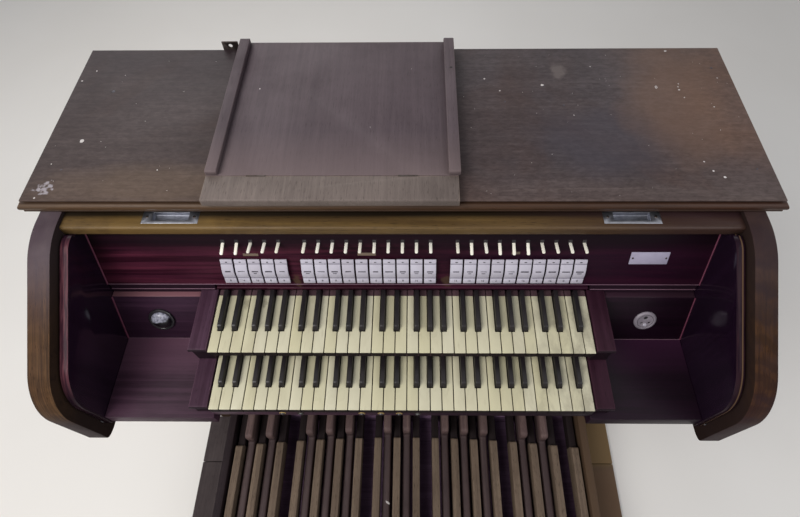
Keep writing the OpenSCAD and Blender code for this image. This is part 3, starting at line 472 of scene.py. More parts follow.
oak = wood("oak_of_the_cheeks", (112, 84, 56), (68, 47, 32), "curve", (0.5, 0.65), 0.6, 0.8,
           (110, 88, 66), 0.35, 0.0006, 8.0, None, 0.06, shaded_and_handled_oak)
rail_oak = wood("oak_of_the_shutter", (118, 94, 54), (74, 55, 32), "x", (0.4, 0.55), 0.6, 0.6,
                (124, 100, 64), 0.5, shine=0.25, local=shaded_rail)
mahogany = wood("polished_mahogany", (92, 40, 56), (50, 18, 34), "x", (0.3, 0.42), 0.7, 0.3,
                (120, 84, 96), 0.6, 0.0001, shine=0.08, local=shaded_stop_rail)
shelf_wood = wood("mahogany_of_the_shelf", (80, 54, 70), (54, 33, 47), "x", (0.4, 0.55), 0.6, 0.3,
                  (104, 78, 90), 0.6, 0.0001, shine=0.12, local=shaded_shelf)
panel_wood = wood("mahogany_of_the_side_panels", (70, 45, 63), (46, 27, 44), "x", (0.28, 0.4), 0.7,
                  0.3, (120, 84, 96), 0.8, 0.0001, shine=0.12, local=lit_top_edge)
lining_wood = wood("dark_mahogany_lining", (34, 18, 36), (20, 10, 22), "z", (0.1, 0.16), 0.6, 0.2,
                   relief=0.00005, shine=0.5, local=edge_of_lining)
block_wood = wood("mahogany_of_the_key_blocks", (84, 60, 76), (54, 32, 46), "y", (0.4, 0.55), 0.7,
                  0.5, (130, 100, 114), 0.7, 0.0002, shine=0.1, local=shaded_block)
fascia_wood = wood("dark_fascia", (44, 26, 38), (30, 16, 26), "x", (0.4, 0.55), 0.6, 0.3,
                   relief=0.0001, shine=0.08)
# The foot beads are pale as a painted highlight along the arrises at the feet of the boards.
foot_bead_wood = wood("pale_highlit_foot_beads", (128, 98, 112), (98, 72, 86), "x", (0.35, 0.5), 0.4, 0.2,
                      relief=0.0001)
bead_wood = wood("lit_corner_beads", (124, 66, 88), (96, 48, 66), "y", (0.3, 0.45), 0.4, 0.2,
                 relief=0.0001, shine=0.3)
frame_wood = wood("bare_key_wood", (92, 66, 72), (62, 44, 50), "y", (0.6, 0.8), 0.5, 0.5)
key_wood = wood("dark_key_bodies", (36, 26, 28), (20, 14, 17), "y", (0.5, 0.7), 0.4, 0.4, shine=0.1)
cap_wood = wood("worn_pedal_caps", (138, 120, 102), (92, 78, 68), "y", (0.55, 0.7), 0.6, 0.8,
                (140, 122, 106), 0.5, 0.0007, shine=0.1, local=dark_past_caps)
sharp_wood = wood("dark_pedal_wood", (124, 102, 96), (78, 62, 63), "y", (0.5, 0.65), 0.5, 0.6,
                  (120, 100, 96), 0.5, 0.0005, shine=0.15, local=dark_below)
pedal_frame_wood = wood("stained_pedal_frame", (54, 44, 46), (28, 21, 25), "y", (0.5, 0.66), 0.5,
                        0.6, (84, 70, 66), 0.5, 0.0005, shine=0.1, local=paler_right)
dark_bottom = wood("dark_pedal_bottom", (150, 120, 150), (96, 74, 96), "x", (0.6, 0.8), 0.5, 0.3,
                   shine=0.05)
board_wood = wood("worn_floor_boards", (86, 77, 76), (60, 52, 53), "y", (0.6, 0.8), 0.4, 0.5,
                  (80, 70, 66), 0.5, 0.0004, shine=0.1, local=patchy_boards)
case_oak = wood("oak_of_the_case", (100, 76, 52), (60, 43, 31), "z", (0.45, 0.6), 0.6, 0.8,
                (122, 98, 74), 0.5, 0.0005, 8.0)
case_oak_x = wood("oak_of_the_rails", (98, 74, 50), (57, 41, 29), "x", (0.45, 0.6), 0.6, 0.8,
                  (118, 95, 72), 0.5, 0.0005, 8.0)
print("woods:", sum("wood" in m.name or "oak" in m.name or "mahogany" in m.name
                    for m in bpy.data.materials))

# %% [markdown]
# ## Keys, tabs and metal
# Key coverings differ from key to key, so each key carries its own number in an attribute,
# and the finish turns that number into a slightly different tint. Grime gathers in cloudy
# patches. Metal is a dark or bright base with fine scratches in its roughness.

# %% Finishes for keys, tabs and fittings


def grimy_keys(f, body):
    """Smudged towards the right end, with two stains behind the keys on the left."""
    cloud = f.span(f.noise(34.0, 4, (1, 0.5, 1), 0.4, 0.65, (3, 1, 0)), 0.4, 0.6, 0.0, 0.6)
    body = f.mix(f.both(f.across("X", 190, 350), cloud), body, colour(134, 128, 110))
    stains = f.math("MAXIMUM", f.around(-322, 204, 60, 9, 14, 0.5, 60.0),
                    f.around(-289, 204, 60, 8, 14, 0.5, 60.0))
    return f.mix(f.both(stains, 0.5), body, colour(120, 112, 92))


def own_tint(f):
    """The number between 0 and 1 that each key, tab or screw carries."""
    return f.put("ShaderNodeAttribute", {"attribute_name": "tint"}).outputs["Fac"]


def key_covering(title, clean, aged, grime, rough, shine, local=None):
    f = Finish(title, 0.4, Specular_IOR_Level=shine)
    body = f.mix(own_tint(f), colour(*clean), colour(*aged))
    patches = f.span(f.noise(26.0, 4, (1, 0.35, 1), 0.5, 0.6), 0.50, 0.72, 0.0, 0.25)
    specks = f.span(f.noise(160.0, 3, (1, 0.2, 1)), 0.62, 0.75, 0.0, 0.3)
    for dirt in (patches, specks):
        body = f.mix(dirt, body, colour(*grime))
    body = local(f, body) if local else body
    f.colour_is(body).rough_is(f.noise(18.0, 3), *rough)
    f.bump(f.noise(420.0, 2, (1, 0.15, 1)), 0.0001, 0.3)
    return f.material


def metal(title, base, rough, tarnish, spots=0.4):
    f = Finish(title, 0.3, Metallic=1.0)
    stains = f.span(f.noise(90.0, 4, rough=0.65), 0.45, 0.68, 0.0, spots)
    f.colour_is(f.mix(stains, colour(*base), colour(*tarnish)))
    f.rough_is(f.noise(60.0, 3, (1, 6, 6)), *rough)
    f.bump(f.noise(700.0, 2, (0.1, 1, 1)), 0.00005, 0.3)
    return f.material


def moulded_plastic(title, base, shade, rough):
    f = Finish(title, 0.4)
    base, shade = colour(*base), colour(*shade)
    body = f.mix(f.both(own_tint(f), 0.6), base, shade)
    body = f.mix(f.span(f.noise(60.0, 4), 0.5, 0.75, 0.0, 0.35), body, shade)
    f.colour_is(body).rough_is(f.noise(40.0, 3), *rough)
    f.bump(f.noise(500.0, 2), 0.00008, 0.3)
    return f.material


ivory = key_covering("ivory_key_tops", (198, 193, 168), (192, 186, 154), (156, 146, 120),
                     (0.24, 0.42), 0.4, grimy_keys)
ebony = key_covering("ebony_sharps", (22, 19, 22), (30, 26, 28), (54, 48, 50), (0.26, 0.42), 0.3)
(tab_plastic, lever_plastic, plate_plastic, bezel_plastic, socket_plastic, crease_grey,
 label_brown, ink, paint) = (moulded_plastic(*finish) for finish in (
     ("white_stop_tabs", (188, 184, 196), (168, 162, 172), (0.25, 0.4)),
     ("ivory_setter_levers", (250, 246, 234), (232, 224, 204), (0.25, 0.4)),
     ("bare_white_plate", (158, 152, 172), (134, 126, 146), (0.3, 0.45)),
     ("black_bezel", (24, 22, 26), (48, 44, 48), (0.2, 0.35)),
     ("grey_socket", (136, 128, 137), (98, 90, 98), (0.35, 0.5)),
     ("shaded_crease", (112, 106, 122), (90, 84, 98), (0.4, 0.5)),
     ("dull_label", (104, 88, 74), (74, 60, 54), (0.4, 0.6)),
     ("engraver_black", (38, 34, 44), (58, 54, 64), (0.5, 0.6)),
     ("old_white_paint", (196, 190, 188), (150, 144, 140), (0.6, 0.75))))
chrome = metal("chromed_pull", (152, 154, 163), (0.3, 0.46), (100, 98, 106))
steel = metal("dark_steel", (74, 68, 66), (0.35, 0.6), (48, 38, 32), 0.7)
brass = metal("brass_rings", (196, 168, 112), (0.25, 0.42), (120, 96, 62))

# The round fittings' place on the side panels, in millimetres across and up.
FITTING_X, FITTING_UP = 524, 56


def dome_painted_lit_above():
    """A speckled painted reflection of a bright sky above and painted shade, nearly black, below,
    with a ragged border between.
    """
    f = Finish("dome_painted_lit_above", 0.3, Specular_IOR_Level=0.6)
    centre = SIDE_FACE @ Vector((-FITTING_X, 8, FITTING_UP + 1))
    torn = f.span(f.noise(60.0, 3), 0.3, 0.7, -0.004, 0.004)
    height = f.math("ADD", f.axis("Z"), torn)
    # Painted light: the upper part is pale, the lower part nearly black.
    upper = f.span(height, centre.z + 0.0005, centre.z + 0.0035)
    reflection_specks = f.span(f.noise(170.0, 4), 0.4, 0.65)
    painted_sky_reflection = f.mix(reflection_specks, colour(164, 164, 178), colour(84, 84, 98))
    body = f.mix(upper, colour(14, 12, 17), painted_sky_reflection)
    f.colour_is(body).rough_is(f.noise(50.0, 3), 0.2, 0.4)
    f.bump(f.noise(120.0, 3), 0.0006, 0.4)
    return f.material


dome_glass = dome_painted_lit_above()
print("finishes in all:", len(bpy.data.materials))

# %% [markdown]
# ## Hands for making pieces
# `new_piece` turns a mesh into a piece that rides on a body. `softened` takes a copy of a
# construction node, welds its triangles, and rounds its arrises with a Bevel modifier, so
# that light catches every edge. The modifier is made real before the piece is handed over.

# %% Make, soften and repeat


def evaluated_copy(obj):
    """What the modifiers make of an object, as a plain mesh of its own."""
    shown = obj.evaluated_get(bpy.context.evaluated_depsgraph_get())
    return bpy.data.meshes.new_from_object(shown)


def new_piece(title, mesh, finish, body="console", stands_for=(), sharp=32):
    piece = bpy.data.objects.new(title, mesh)
    mesh.name = title
    bpy.context.collection.objects.link(piece)
    if finish:
        mesh.materials.clear()
        mesh.materials.append(finish)
    mesh.shade_smooth()
    mesh.set_sharp_from_angle(angle=math.radians(sharp))
    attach(piece, body)
    if stands_for:
        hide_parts(*stands_for)
    return piece


def with_modifiers(mesh, *modifiers):
    """Runs modifiers, given as (kind, settings), on a mesh and returns the finished mesh."""
    helper = bpy.data.objects.new("helper", mesh)
    bpy.context.collection.objects.link(helper)
    for kind, settings in modifiers:
        modifier = helper.modifiers.new(kind.lower(), kind)
        for name, value in settings.items():
            setattr(modifier, name, value)
    made = evaluated_copy(helper)
    bpy.data.objects.remove(helper)
    return made


def rounded(mesh, width, segments=2, angle=30):
    return with_modifiers(mesh, ("BEVEL", {
        "width": width * MM, "segments": segments, "limit_method": "ANGLE",
        "angle_limit": math.radians(angle), "use_clamp_overlap": True}))


def welded(node):
    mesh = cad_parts[node].data.copy()
    bm = bmesh.new()
    bm.from_mesh(mesh)
    bmesh.ops.remove_doubles(bm, verts=bm.verts, dist=1e-5)
    bmesh.ops.dissolve_limit(bm, angle_limit=math.radians(0.4), verts=bm.verts, edges=bm.edges)
    bm.to_mesh(mesh)
    bm.free()
    return mesh


def softened(node, width, finish, body="console", segments=2, angle=30):
    mesh = rounded(welded(node), width, segments, angle)
    return new_piece(node + "_made", mesh, finish, body, (node,))


def shell(n):
    """The faces of a bar whose two ends have n corners each."""
    ends = [tuple(range(n - 1, -1, -1)), tuple(range(n, 2 * n))]
    return ends + [(i, (i + 1) % n, (i + 1) % n + n, i + n) for i in range(n)]


def bar_faces(n):
    """The same faces turned the other way. It decides how a bar's uneven faces are split."""
    ends = [tuple(range(n)), tuple(range(2 * n - 1, n - 1, -1))]
    return ends + [(i, i + n, (i + 1) % n + n, (i + 1) % n) for i in range(n)]


def mesh_of(points, faces, name="solid"):
    mesh = bpy.data.meshes.new(name)
    mesh.from_pydata([tuple(p) for p in points], [], faces)
    return mesh


def finished(bm, mesh):
    """Turns all faces outward and writes them to the mesh."""
    bmesh.ops.recalc_face_normals(bm, faces=bm.faces)
    bm.to_mesh(mesh)
    bm.free()
    return mesh


def turned_out(mesh):
    bm = bmesh.new()
    bm.from_mesh(mesh)
    return finished(bm, mesh)


def prism(outline, x0, x1):
    """A bar along X from an outline of (y, z) points."""
    points = [(x, y, z) for x in (x0, x1) for y, z in outline]
    return turned_out(mesh_of(points, bar_faces(len(outline))))


def joined(meshes):
    bm = bmesh.new()
    for mesh in meshes:
        bm.from_mesh(mesh)
    out = bpy.data.meshes.new("joined")
    bm.to_mesh(out)
    bm.free()
    return out


# %% [markdown]
# ## Repeating with Geometry Nodes
# Screws, sharps, tabs, levers, pistons and paint spots are each one shape, set down many
# times. One node tree does it. It reads a cloud of points, turns and sizes a copy of the
# shape at each by the point's own attributes, adds a little unevenness from a fixed seed,
# gives every copy a number for its tint, and makes the copies real.

# %% A tree that sets a shape down at points


def node_tree(title, inputs, nodes, links):
    """A Geometry Nodes tree from tables of its inputs, its nodes and its links."""
    tree = bpy.data.node_groups.new(title, "GeometryNodeTree")
    tree.interface.new_socket("Geometry", in_out="OUTPUT", socket_type="NodeSocketGeometry")
    for name, kind in (("Geometry", "Geometry"), *inputs):
        tree.interface.new_socket(name, in_out="INPUT", socket_type="NodeSocket" + kind)
    made = {"given": tree.nodes.new("NodeGroupInput"), "result": tree.nodes.new("NodeGroupOutput")}
    for name, (kind, settings, values) in nodes.items():
        node = made[name] = tree.nodes.new(kind)
        for key, value in settings.items():
            setattr(node, key, value)
        for key, value in values.items():
            node.inputs[key].default_value = value
    for a, out, b, into in links:
        tree.links.new(made[a].outputs[out], made[b].inputs[into])
    return tree


VECTORS, SCALED = {"data_type": "FLOAT_VECTOR"}, {"operation": "SCALE"}
PLANTING = node_tree(
    "set_down_at_points",
    (("Shape", "Object"), ("Finish", "Material"), ("Unevenness", "Float"), ("Seed", "Int")),
    {"shape": ("GeometryNodeObjectInfo", {}, {}),
     "turn": ("GeometryNodeInputNamedAttribute", VECTORS, {"Name": "turn"}),
     "size": ("GeometryNodeInputNamedAttribute", VECTORS, {"Name": "size"}),
     "low": ("ShaderNodeVectorMath", SCALED, {"Vector": (-1, -1, -1)}),
     "high": ("ShaderNodeVectorMath", SCALED, {"Vector": (1, 1, 1)}),
     "uneven": ("FunctionNodeRandomValue", VECTORS, {}),
     "put_down": ("GeometryNodeInstanceOnPoints", {}, {}),
     "nudge": ("GeometryNodeRotateInstances", {}, {}),
     "number": ("FunctionNodeRandomValue", {"data_type": "FLOAT"}, {}),
     "tint": ("GeometryNodeStoreNamedAttribute", {"data_type": "FLOAT", "domain": "INSTANCE"},
              {"Name": "tint"}),
     "real": ("GeometryNodeRealizeInstances", {}, {}),
     "finish": ("GeometryNodeSetMaterial", {}, {})},
    (("given", "Shape", "shape", "Object"), ("given", "Unevenness", "low", "Scale"),
     ("given", "Unevenness", "high", "Scale"), ("low", 0, "uneven", "Min"),
     ("high", 0, "uneven", "Max"), ("given", "Seed", "uneven", "Seed"),
     ("given", "Geometry", "put_down", "Points"), ("shape", "Geometry", "put_down", "Instance"),
     ("turn", "Attribute", "put_down", "Rotation"), ("size", "Attribute", "put_down", "Scale"),
     ("put_down", 0, "nudge", "Instances"), ("uneven", "Value", "nudge", "Rotation"),
     ("given", "Seed", "number", "Seed"), ("nudge", 0, "tint", "Geometry"),
     ("number", 1, "tint", "Value"), ("tint", 0, "real", 0), ("real", 0, "finish", "Geometry"),
     ("given", "Finish", "finish", "Material"), ("finish", 0, "result", 0)))


def grown(mesh, tree, **given):
    """Runs a tree on a mesh and returns what it makes as a plain mesh."""
    carrier = bpy.data.objects.new("carrier", mesh)
    bpy.context.collection.objects.link(carrier)
    grow = carrier.modifiers.new("grow", "NODES")
    grow.node_group = tree
    keys = {s.name: s.identifier for s in tree.interface.items_tree if s.in_out == "INPUT"}
    for name, value in given.items():
        grow[keys[name]] = value
    made = evaluated_copy(carrier)
    bpy.data.objects.remove(carrier)
    return made


def planted(shape, places, finish, unevenness=0.0, seed=1):
    """places: (position, euler turn, size) for each copy. Returns one plain mesh."""
    cloud = mesh_of([p[0] for p in places], [], "places")
    for column, name in ((1, "turn"), (2, "size")):
        values = cloud.attributes.new(name, "FLOAT_VECTOR", "POINT")
        for i, place in enumerate(places):
            v = place[column]
            values.data[i].vector = tuple(v) if hasattr(v, "__len__") else (v, v, v)
    pattern = bpy.data.objects.new("pattern", shape)
    bpy.context.collection.objects.link(pattern)
    made = grown(cloud, PLANTING, Shape=pattern, Finish=finish, Unevenness=unevenness, Seed=seed)
    bpy.data.objects.remove(pattern)
    return made


print("planting tree has", len(PLANTING.nodes), "nodes")

# %% [markdown]
# A second tree sweeps a round bar along lines. It makes the planted mouldings round the
# case's panels and the thin beads in the corners of the keydesk.

# %% A tree that sweeps a bar along lines


SWEEPING = node_tree(
    "sweep_along_lines", (("Radius", "Float"), ("Finish", "Material")),
    {"line": ("GeometryNodeMeshToCurve", {}, {}),
     "ring": ("GeometryNodeCurvePrimitiveCircle", {}, {"Resolution": 12}),
     "bar": ("GeometryNodeCurveToMesh", {}, {"Fill Caps": True}),
     "real": ("GeometryNodeRealizeInstances", {}, {}),
     "finish": ("GeometryNodeSetMaterial", {}, {})},
    (("given", "Geometry", "line", "Mesh"), ("line", 0, "bar", "Curve"),
     ("given", "Radius", "ring", "Radius"), ("ring", 0, "bar", "Profile Curve"),
     ("bar", 0, "real", 0), ("real", 0, "finish", "Geometry"),
     ("given", "Finish", "finish", "Material"), ("finish", 0, "result", 0)))


def swept(lines, radius, finish):
    """lines: lists of places; a line that ends where it starts is closed."""
    points, edges = [], []
    for line in lines:
        closed = (line[0] - line[-1]).length < 1e-6
        line = line[:-1] if closed else line
        first = len(points)
        points += [tuple(p) for p in line]
        edges += [(first + i, first + i + 1) for i in range(len(line) - 1)]
        if closed:
            edges.append((len(points) - 1, first))
    mesh = bpy.data.meshes.new("lines")
    mesh.from_pydata(points, edges, [])
    return grown(mesh, SWEEPING, Radius=radius * MM, Finish=finish)


def lathed(profile, steps=40):
    """Turns a profile of (radius, out) millimetres round the +Y axis."""
    bm = bmesh.new()
    rows = []
    for r, out in profile:
        turns = [2 * math.pi * k / steps for k in range(1 if r < 1e-6 else steps)]
        rows.append([bm.verts.new((r * MM * math.cos(a), out * MM, r * MM * math.sin(a)))
                     for a in turns])
    for a, b in zip(rows, rows[1:]):
        for k in range(steps):
            corners = [a[k % len(a)], a[(k + 1) % len(a)], b[(k + 1) % len(b)], b[k % len(b)]]
            bm.faces.new([v for i, v in enumerate(corners) if v not in corners[:i]])
    return finished(bm, bpy.data.meshes.new("lathed"))


print("sweeping tree has", len(SWEEPING.nodes), "nodes")

# %% [markdown]
# ## The top
# The top is a veneered board. Under its edge lie a quirk, a bead and a smaller bead.

# %% Top board and moulding


def finish_node(node, finish):
    """Puts a finish on a construction node that is shown as it is."""
    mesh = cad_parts[node].data
    mesh.materials.clear()
    mesh.materials.append(finish)


softened("top_board", 0.7, veneer)
softened("top_moulding", 0.6, moulded)
softened("top_bracket", 0.8, steel)

# %% [markdown]
# ## Marks on the top
# Old paint spots and dark knocks lie where the photo shows them. The fine specks between them
# are drawn at random from a fixed seed.

# %% Paint spots and knocks


def flake_shape():
    """An uneven chip of dried paint, 1 mm in radius."""
    rng = random.Random(5)
    rim = [(rng.uniform(0.65, 1.0), 2 * math.pi * k / 11) for k in range(11)]
    low = [(r * math.cos(a) * MM, r * math.sin(a) * MM, -0.1 * MM) for r, a in rim]
    high = [(0.8 * x, 0.8 * y, 0.22 * MM) for x, y, _ in low]
    return mesh_of(low + high, shell(11), "flake")


TOP_LEVEL, PANEL_LEVEL = 285, 303
PALE_SPOTS = (
    (-633, 452, 5.2), (-691, 627, 2.8), (176, 630, 2.4), (206, 593, 2.4), (297, 610, 4.2),
    (583, 719, 4.0), (581, 603, 2.2), (581, 594, 2.6), (584, 612, 1.8), (671, 630, 2.0),
    (639, 543, 2.4), (577, 396, 2.2), (588, 373, 2.4), (605, 358, 3.4), (-672, 392, 2.0),
    (-669, 659, 2.6), (-463, 377, 1.8), (586, 571, 2.0), (-674, 310, 2.4), (408, 668, 1.6))
DARK_SPOTS = (
    (334, 549, 3.0), (668, 662, 3.4), (671, 378, 2.8), (-613, 594, 4.4), (300, 606, 2.2),
    (-648, 378, 2.6), (214, 560, 2.4))
RING_SPOTS = ((535, 602, 4.2), (350, 520, 1.5))


def spots(shape, places, seed, finish, level=TOP_LEVEL):
    """places: x, y and radius of each mark, in millimetres."""
    rng = random.Random(seed)
    turned = [(spot(x, y, level), (0, 0, rng.uniform(0, 6.2)), (r, r * rng.uniform(0.6, 1.0), 1.0))
              for x, y, r in places]
    return planted(shape, turned, finish)


rng = random.Random(21)
DUST_SPECKS = [(rng.uniform(-690, 690), rng.uniform(312, 720), rng.uniform(0.4, 1.0))
               for _ in range(90)]
DUST_SPECKS = [s for s in DUST_SPECKS if not -365 < s[0] < 120]
rings = lathed([(0.55, 0.0), (0.6, 0.5), (0.95, 0.5), (1.0, 0.0), (0.55, 0.0)], 16)
rings.transform(Matrix.Rotation(math.pi / 2, 4, "X"))
for title, shape, places, seed, finish in (
        ("paint_spots", flake_shape(), PALE_SPOTS + tuple(DUST_SPECKS), 2, paint),
        ("dark_spots", flake_shape(), DARK_SPOTS, 3, ink),
        ("paint_rings", rings, RING_SPOTS, 4, paint)):
    new_piece(title, spots(shape, places, seed, finish), None)
print("spots on the top:", len(PALE_SPOTS) + len(DARK_SPOTS), "and specks:", len(DUST_SPECKS))

# %% [markdown]
# ## The music desk
# The desk lies folded on the top: a fixed ledge, and a panel that lifts on two hinges.
# Two battens stiffen the panel.

# %% Music desk
softened("music_ledge", 1.2, ledge_wood)
softened("music_panel", 1.0, desk_wood, "music_desk")
softened("music_battens", 1.5, desk_wood, "music_desk")
finish_node("music_hinges", steel)
DESK_SPOTS = ((-294, 580, 1.8), (-60, 470, 0.9), (20, 640, 0.8))
new_piece("panel_spots", spots(flake_shape(), DESK_SPOTS, 6, paint, PANEL_LEVEL), None,
          "music_desk")

# %% [markdown]
# ## Cheeks, linings and shutter

# %% Keydesk sides and shutter
for side in ("left", "right"):
    softened("cheek_" + side, 2.0, oak)
    softened("lining_" + side, 0.7, lining_wood)
softened("shutter_rail", 1.2, rail_oak)
finish_node("shutter_slats", rail_oak)
softened("pull_plates", 0.5, chrome)
softened("groove_stops", 1.0, chrome)

# %% [markdown]
# ## Stop rail and side panels

# %% Boards round the manuals
for node, width, finish in (
        ("stop_rail", 1.2, mahogany), ("side_panels", 1.2, panel_wood),
        ("key_bed", 1.2, shelf_wood),
        ("upper_key_blocks", 1.5, block_wood), ("lower_key_blocks", 1.5, block_wood),
        ("key_slip", 0.8, shelf_wood)):
    softened(node, width, finish)
finish_node("key_frames", frame_wood)

# %% Corner beads


LINING_X, CORNER_X = 613, 614.2
FASCIA_IN, FASCIA_OUTLINE = 392, ((231.2, 58), (234.5, 58), (239.5, 86.5), (236.2, 86.5))


def along_face(face, x, lo, hi, out=1.0):
    return [face @ Vector((x, out, lo)), face @ Vector((x, out, hi))]


corner_lines = [along_face(face, side * CORNER_X, lo, hi) for side in (-1, 1)
                for face, lo, hi in ((STOP_FACE, 1, 128), (SIDE_FACE, 1, 117))]
new_piece("corner_beads", swept(corner_lines, 1.3, bead_wood), None)
# Pale foot beads: a painted highlight along the feet of the side panels and the stop rail.
foot_lines = [[SIDE_FACE @ Vector((side * x, 0.6, 0.8)) for x in (427, LINING_X)]
              for side in (-1, 1)]
foot_lines += [[spot(side * x, 233.3, 73) for x in (394, LINING_X)] for side in (-1, 1)]
foot_lines.append([STOP_FACE @ Vector((x, 0.2, 1.0)) for x in (-LINING_X, LINING_X)])
new_piece("foot_beads", swept(foot_lines, 0.9, foot_bead_wood), None)
outline = [spot(0, y, z).yz for y, z in FASCIA_OUTLINE]
fascia = joined([prism(outline, *sorted((side * FASCIA_IN * MM, side * LINING_X * MM)))
                 for side in (-1, 1)])
new_piece("fascia_strips", rounded(fascia, 0.5, 1, 40), fascia_wood)
print("corner beads:", len(corner_lines) + len(foot_lines))

# %% [markdown]
# ## Stop tabs and setter levers
# Each tab is a bent strip of white plastic that swings out at its foot. One tab is drawn
# from the side as a line of points, given a thickness, rounded, and set down 25 times.

# %% Tabs
TAB_GROUPS = ((5, -350.5), (10, -189), (10, 111))
TAB_PITCH, TAB_W, TAB_FOOT = 27.5, 24, 8.5
TAB_T = 3.2
TAB_FACE = ((0, 5.6), (3, 6.6), (13.5, 7.9), (15, 7.1), (16.5, 7.8), (23, 10.2), (31, 11),
            (38, 10.6), (48, 8.6), (50.5, 7.6), (52, 7.9), (60.5, 7.4))
tab_places = [first + k * TAB_PITCH for count, first in TAB_GROUPS for k in range(count)]


def turned_to(face):
    """The turn that stands a shape with +Y out of a leaning face and +Z up along it."""
    out, up = face.col[1].xyz.normalized(), face.col[2].xyz.normalized()
    return Matrix((out.cross(up), out, up)).transposed().to_euler()


face_turn = turned_to(STOP_FACE)


def tab_shape():
    """A tab in metres: x across, y out of the rail, z up the rail."""
    front = [(out, up) for up, out in TAB_FACE]
    back = [(out - TAB_T, up) for up, out in reversed(TAB_FACE)]
    outline = [(o * MM, u * MM) for o, u in front + back]
    return rounded(prism(outline, -TAB_W / 2 * MM, TAB_W / 2 * MM), 0.5, 2, 40)


def place_on_rail(x, up, out=0.0, size=1.0, turn=face_turn):
    """Where something is set down on the stop rail: its place, its turn and its size."""
    return (STOP_FACE @ Vector((x, out, up)), turn, size)


tab_seats = [place_on_rail(x, TAB_FOOT) for x in tab_places]
tabs = planted(tab_shape(), tab_seats, tab_plastic, 0.006, 4)
new_piece("stop_tabs_made", tabs, None, stands_for=("stop_tabs",))
print("tabs:", len(tab_places), "triangles:", sum(len(p.vertices) - 2 for p in tabs.polygons))

# %% [markdown]
# The real tabs carry stop names. The lesson gives each a plain rule and a footage instead:
# the length of a stop's longest pipe is 16, 8, 4 or 2 feet.

# %% Rules and footages on the tabs


def numeral(text):
    curve = bpy.data.curves.new("numeral", "FONT")
    curve.body, curve.size, curve.extrude = text, 7.0 * MM, 0.1 * MM
    curve.align_x = curve.align_y = "CENTER"
    curve.resolution_u = 3
    holder = bpy.data.objects.new("numeral", curve)
    bpy.context.collection.objects.link(holder)
    mesh = evaluated_copy(holder)
    bpy.data.objects.remove(holder)
    mesh.transform(Matrix(((-1, 0, 0, 0), (0, 0, 1, 0), (0, 1, 0, 0), (0, 0, 0, 1))))
    return mesh


def bar_mark(width, height):
    """A thin printed bar, centred, that looks along +Y."""
    w, h, t = width / 2 * MM, height / 2 * MM, 0.08 * MM
    return rounded(prism([(-t, -h), (t, -h), (t, h), (-t, h)], -w, w), 0.05, 1, 40)


rng = random.Random(8)
FOOTAGES = [rng.choice(("8", "8", "4", "16", "2")) for _ in tab_places]


def on_every_tab(mark, out, up, finish, seed, size=lambda rng: 1.0, chosen=lambda rng: True):
    rng = random.Random(seed)
    places = [place_on_rail(x, TAB_FOOT + up, out, size(rng)) for x in tab_places if chosen(rng)]
    return planted(mark, places, finish)


def some_width(rng):
    return (rng.uniform(0.75, 1.15), 1, rng.uniform(0.8, 1.2))


def one_in_two(rng):
    return rng.random() < 0.5


print_marks = [on_every_tab(bar_mark(14, 2.6), 10.98, 33.5, ink, 1, some_width),
               on_every_tab(bar_mark(8, 1.6), 11.02, 29, ink, 2, some_width, one_in_two),
               on_every_tab(bar_mark(4.5, 2.0), 8.0, 55.0, ink, 3, some_width)]
creases = joined([on_every_tab(bar_mark(23, 1.7), 7.95, 50.8, crease_grey, 4),
                  on_every_tab(bar_mark(23, 1.8), 7.6, 15.1, crease_grey, 5)])
new_piece("tab_creases", creases, crease_grey)
for text in sorted(set(FOOTAGES)):
    here = [place_on_rail(x, TAB_FOOT + 8.2, 7.5)
            for x, own in zip(tab_places, FOOTAGES) if own == text]
    print_marks.append(planted(numeral(text), here, ink))
new_piece("tab_print", joined(print_marks), ink)
print("footages:", " ".join(FOOTAGES))

# %% Setter levers
LOWERED = {0, 1, 16, 18, 19, 20}
TONGUE_UP = 105


def tongue_shape(length):
    """An ivory tongue that lies along +Y from its pivot, with an eased end."""
    half, thick = 3, 2.8
    end = [(half, length - 1.5), (half - 1.2, length), (-half + 1.2, length), (-half, length - 1.5)]
    outline = [(-half, 0), (half, 0)] + end
    points = [(x * MM, y * MM, z * MM) for z in (-thick / 2, thick / 2) for x, y in outline]
    return rounded(mesh_of(points, shell(len(outline)), "tongue"), 0.6, 2, 30)


levers = []
for length, tilt, lowered, seed in ((26.5, -13, False, 9), (25, -36, True, 10)):
    turn = (face_turn.to_matrix() @ Matrix.Rotation(math.radians(tilt), 3, "X")).to_euler()
    here = [place_on_rail(x, TONGUE_UP, turn=turn) for i, x in enumerate(tab_places)
            if (i in LOWERED) == lowered]
    levers.append(planted(tongue_shape(length), here, lever_plastic, 0.01, seed))
new_piece("setter_levers_made", joined(levers), lever_plastic,
          stands_for=("setter_levers",))
# A thin black plate at each lever's pivot is painted shade for the slot there.
slot_places = [place_on_rail(x, TONGUE_UP + 3, 0.1) for x in tab_places]
new_piece("lever_slots", planted(bar_mark(7.4, 9.0), slot_places, bezel_plastic), None)
print("levers:", len(tab_places) - len(LOWERED), "raised and", len(LOWERED), "lowered")

# %% Labels and the name plate


def label(x0, x1, up0, up1):
    mesh = prism([(up0, 0.05), (up1, 0.05), (up1, 1.0), (up0, 1.0)], x0, x1)
    mesh.transform(STOP_FACE @ Matrix(((1, 0, 0, 0), (0, 0, 1, 0), (0, 1, 0, 0), (0, 0, 0, 1))))
    return rounded(turned_out(mesh), 0.3, 1, 40)


labels = joined([label(-316, -285, 73.6, 79.7), label(-86.5, -50, 75, 82),
                 label(219.6, 236, 78.7, 84.7)])
new_piece("bare_labels", labels, label_brown)
softened("name_plate", 0.6, plate_plastic)

# %% [markdown]
# ## Round fittings

# %% Lamp and socket
side_turn = turned_to(SIDE_FACE)


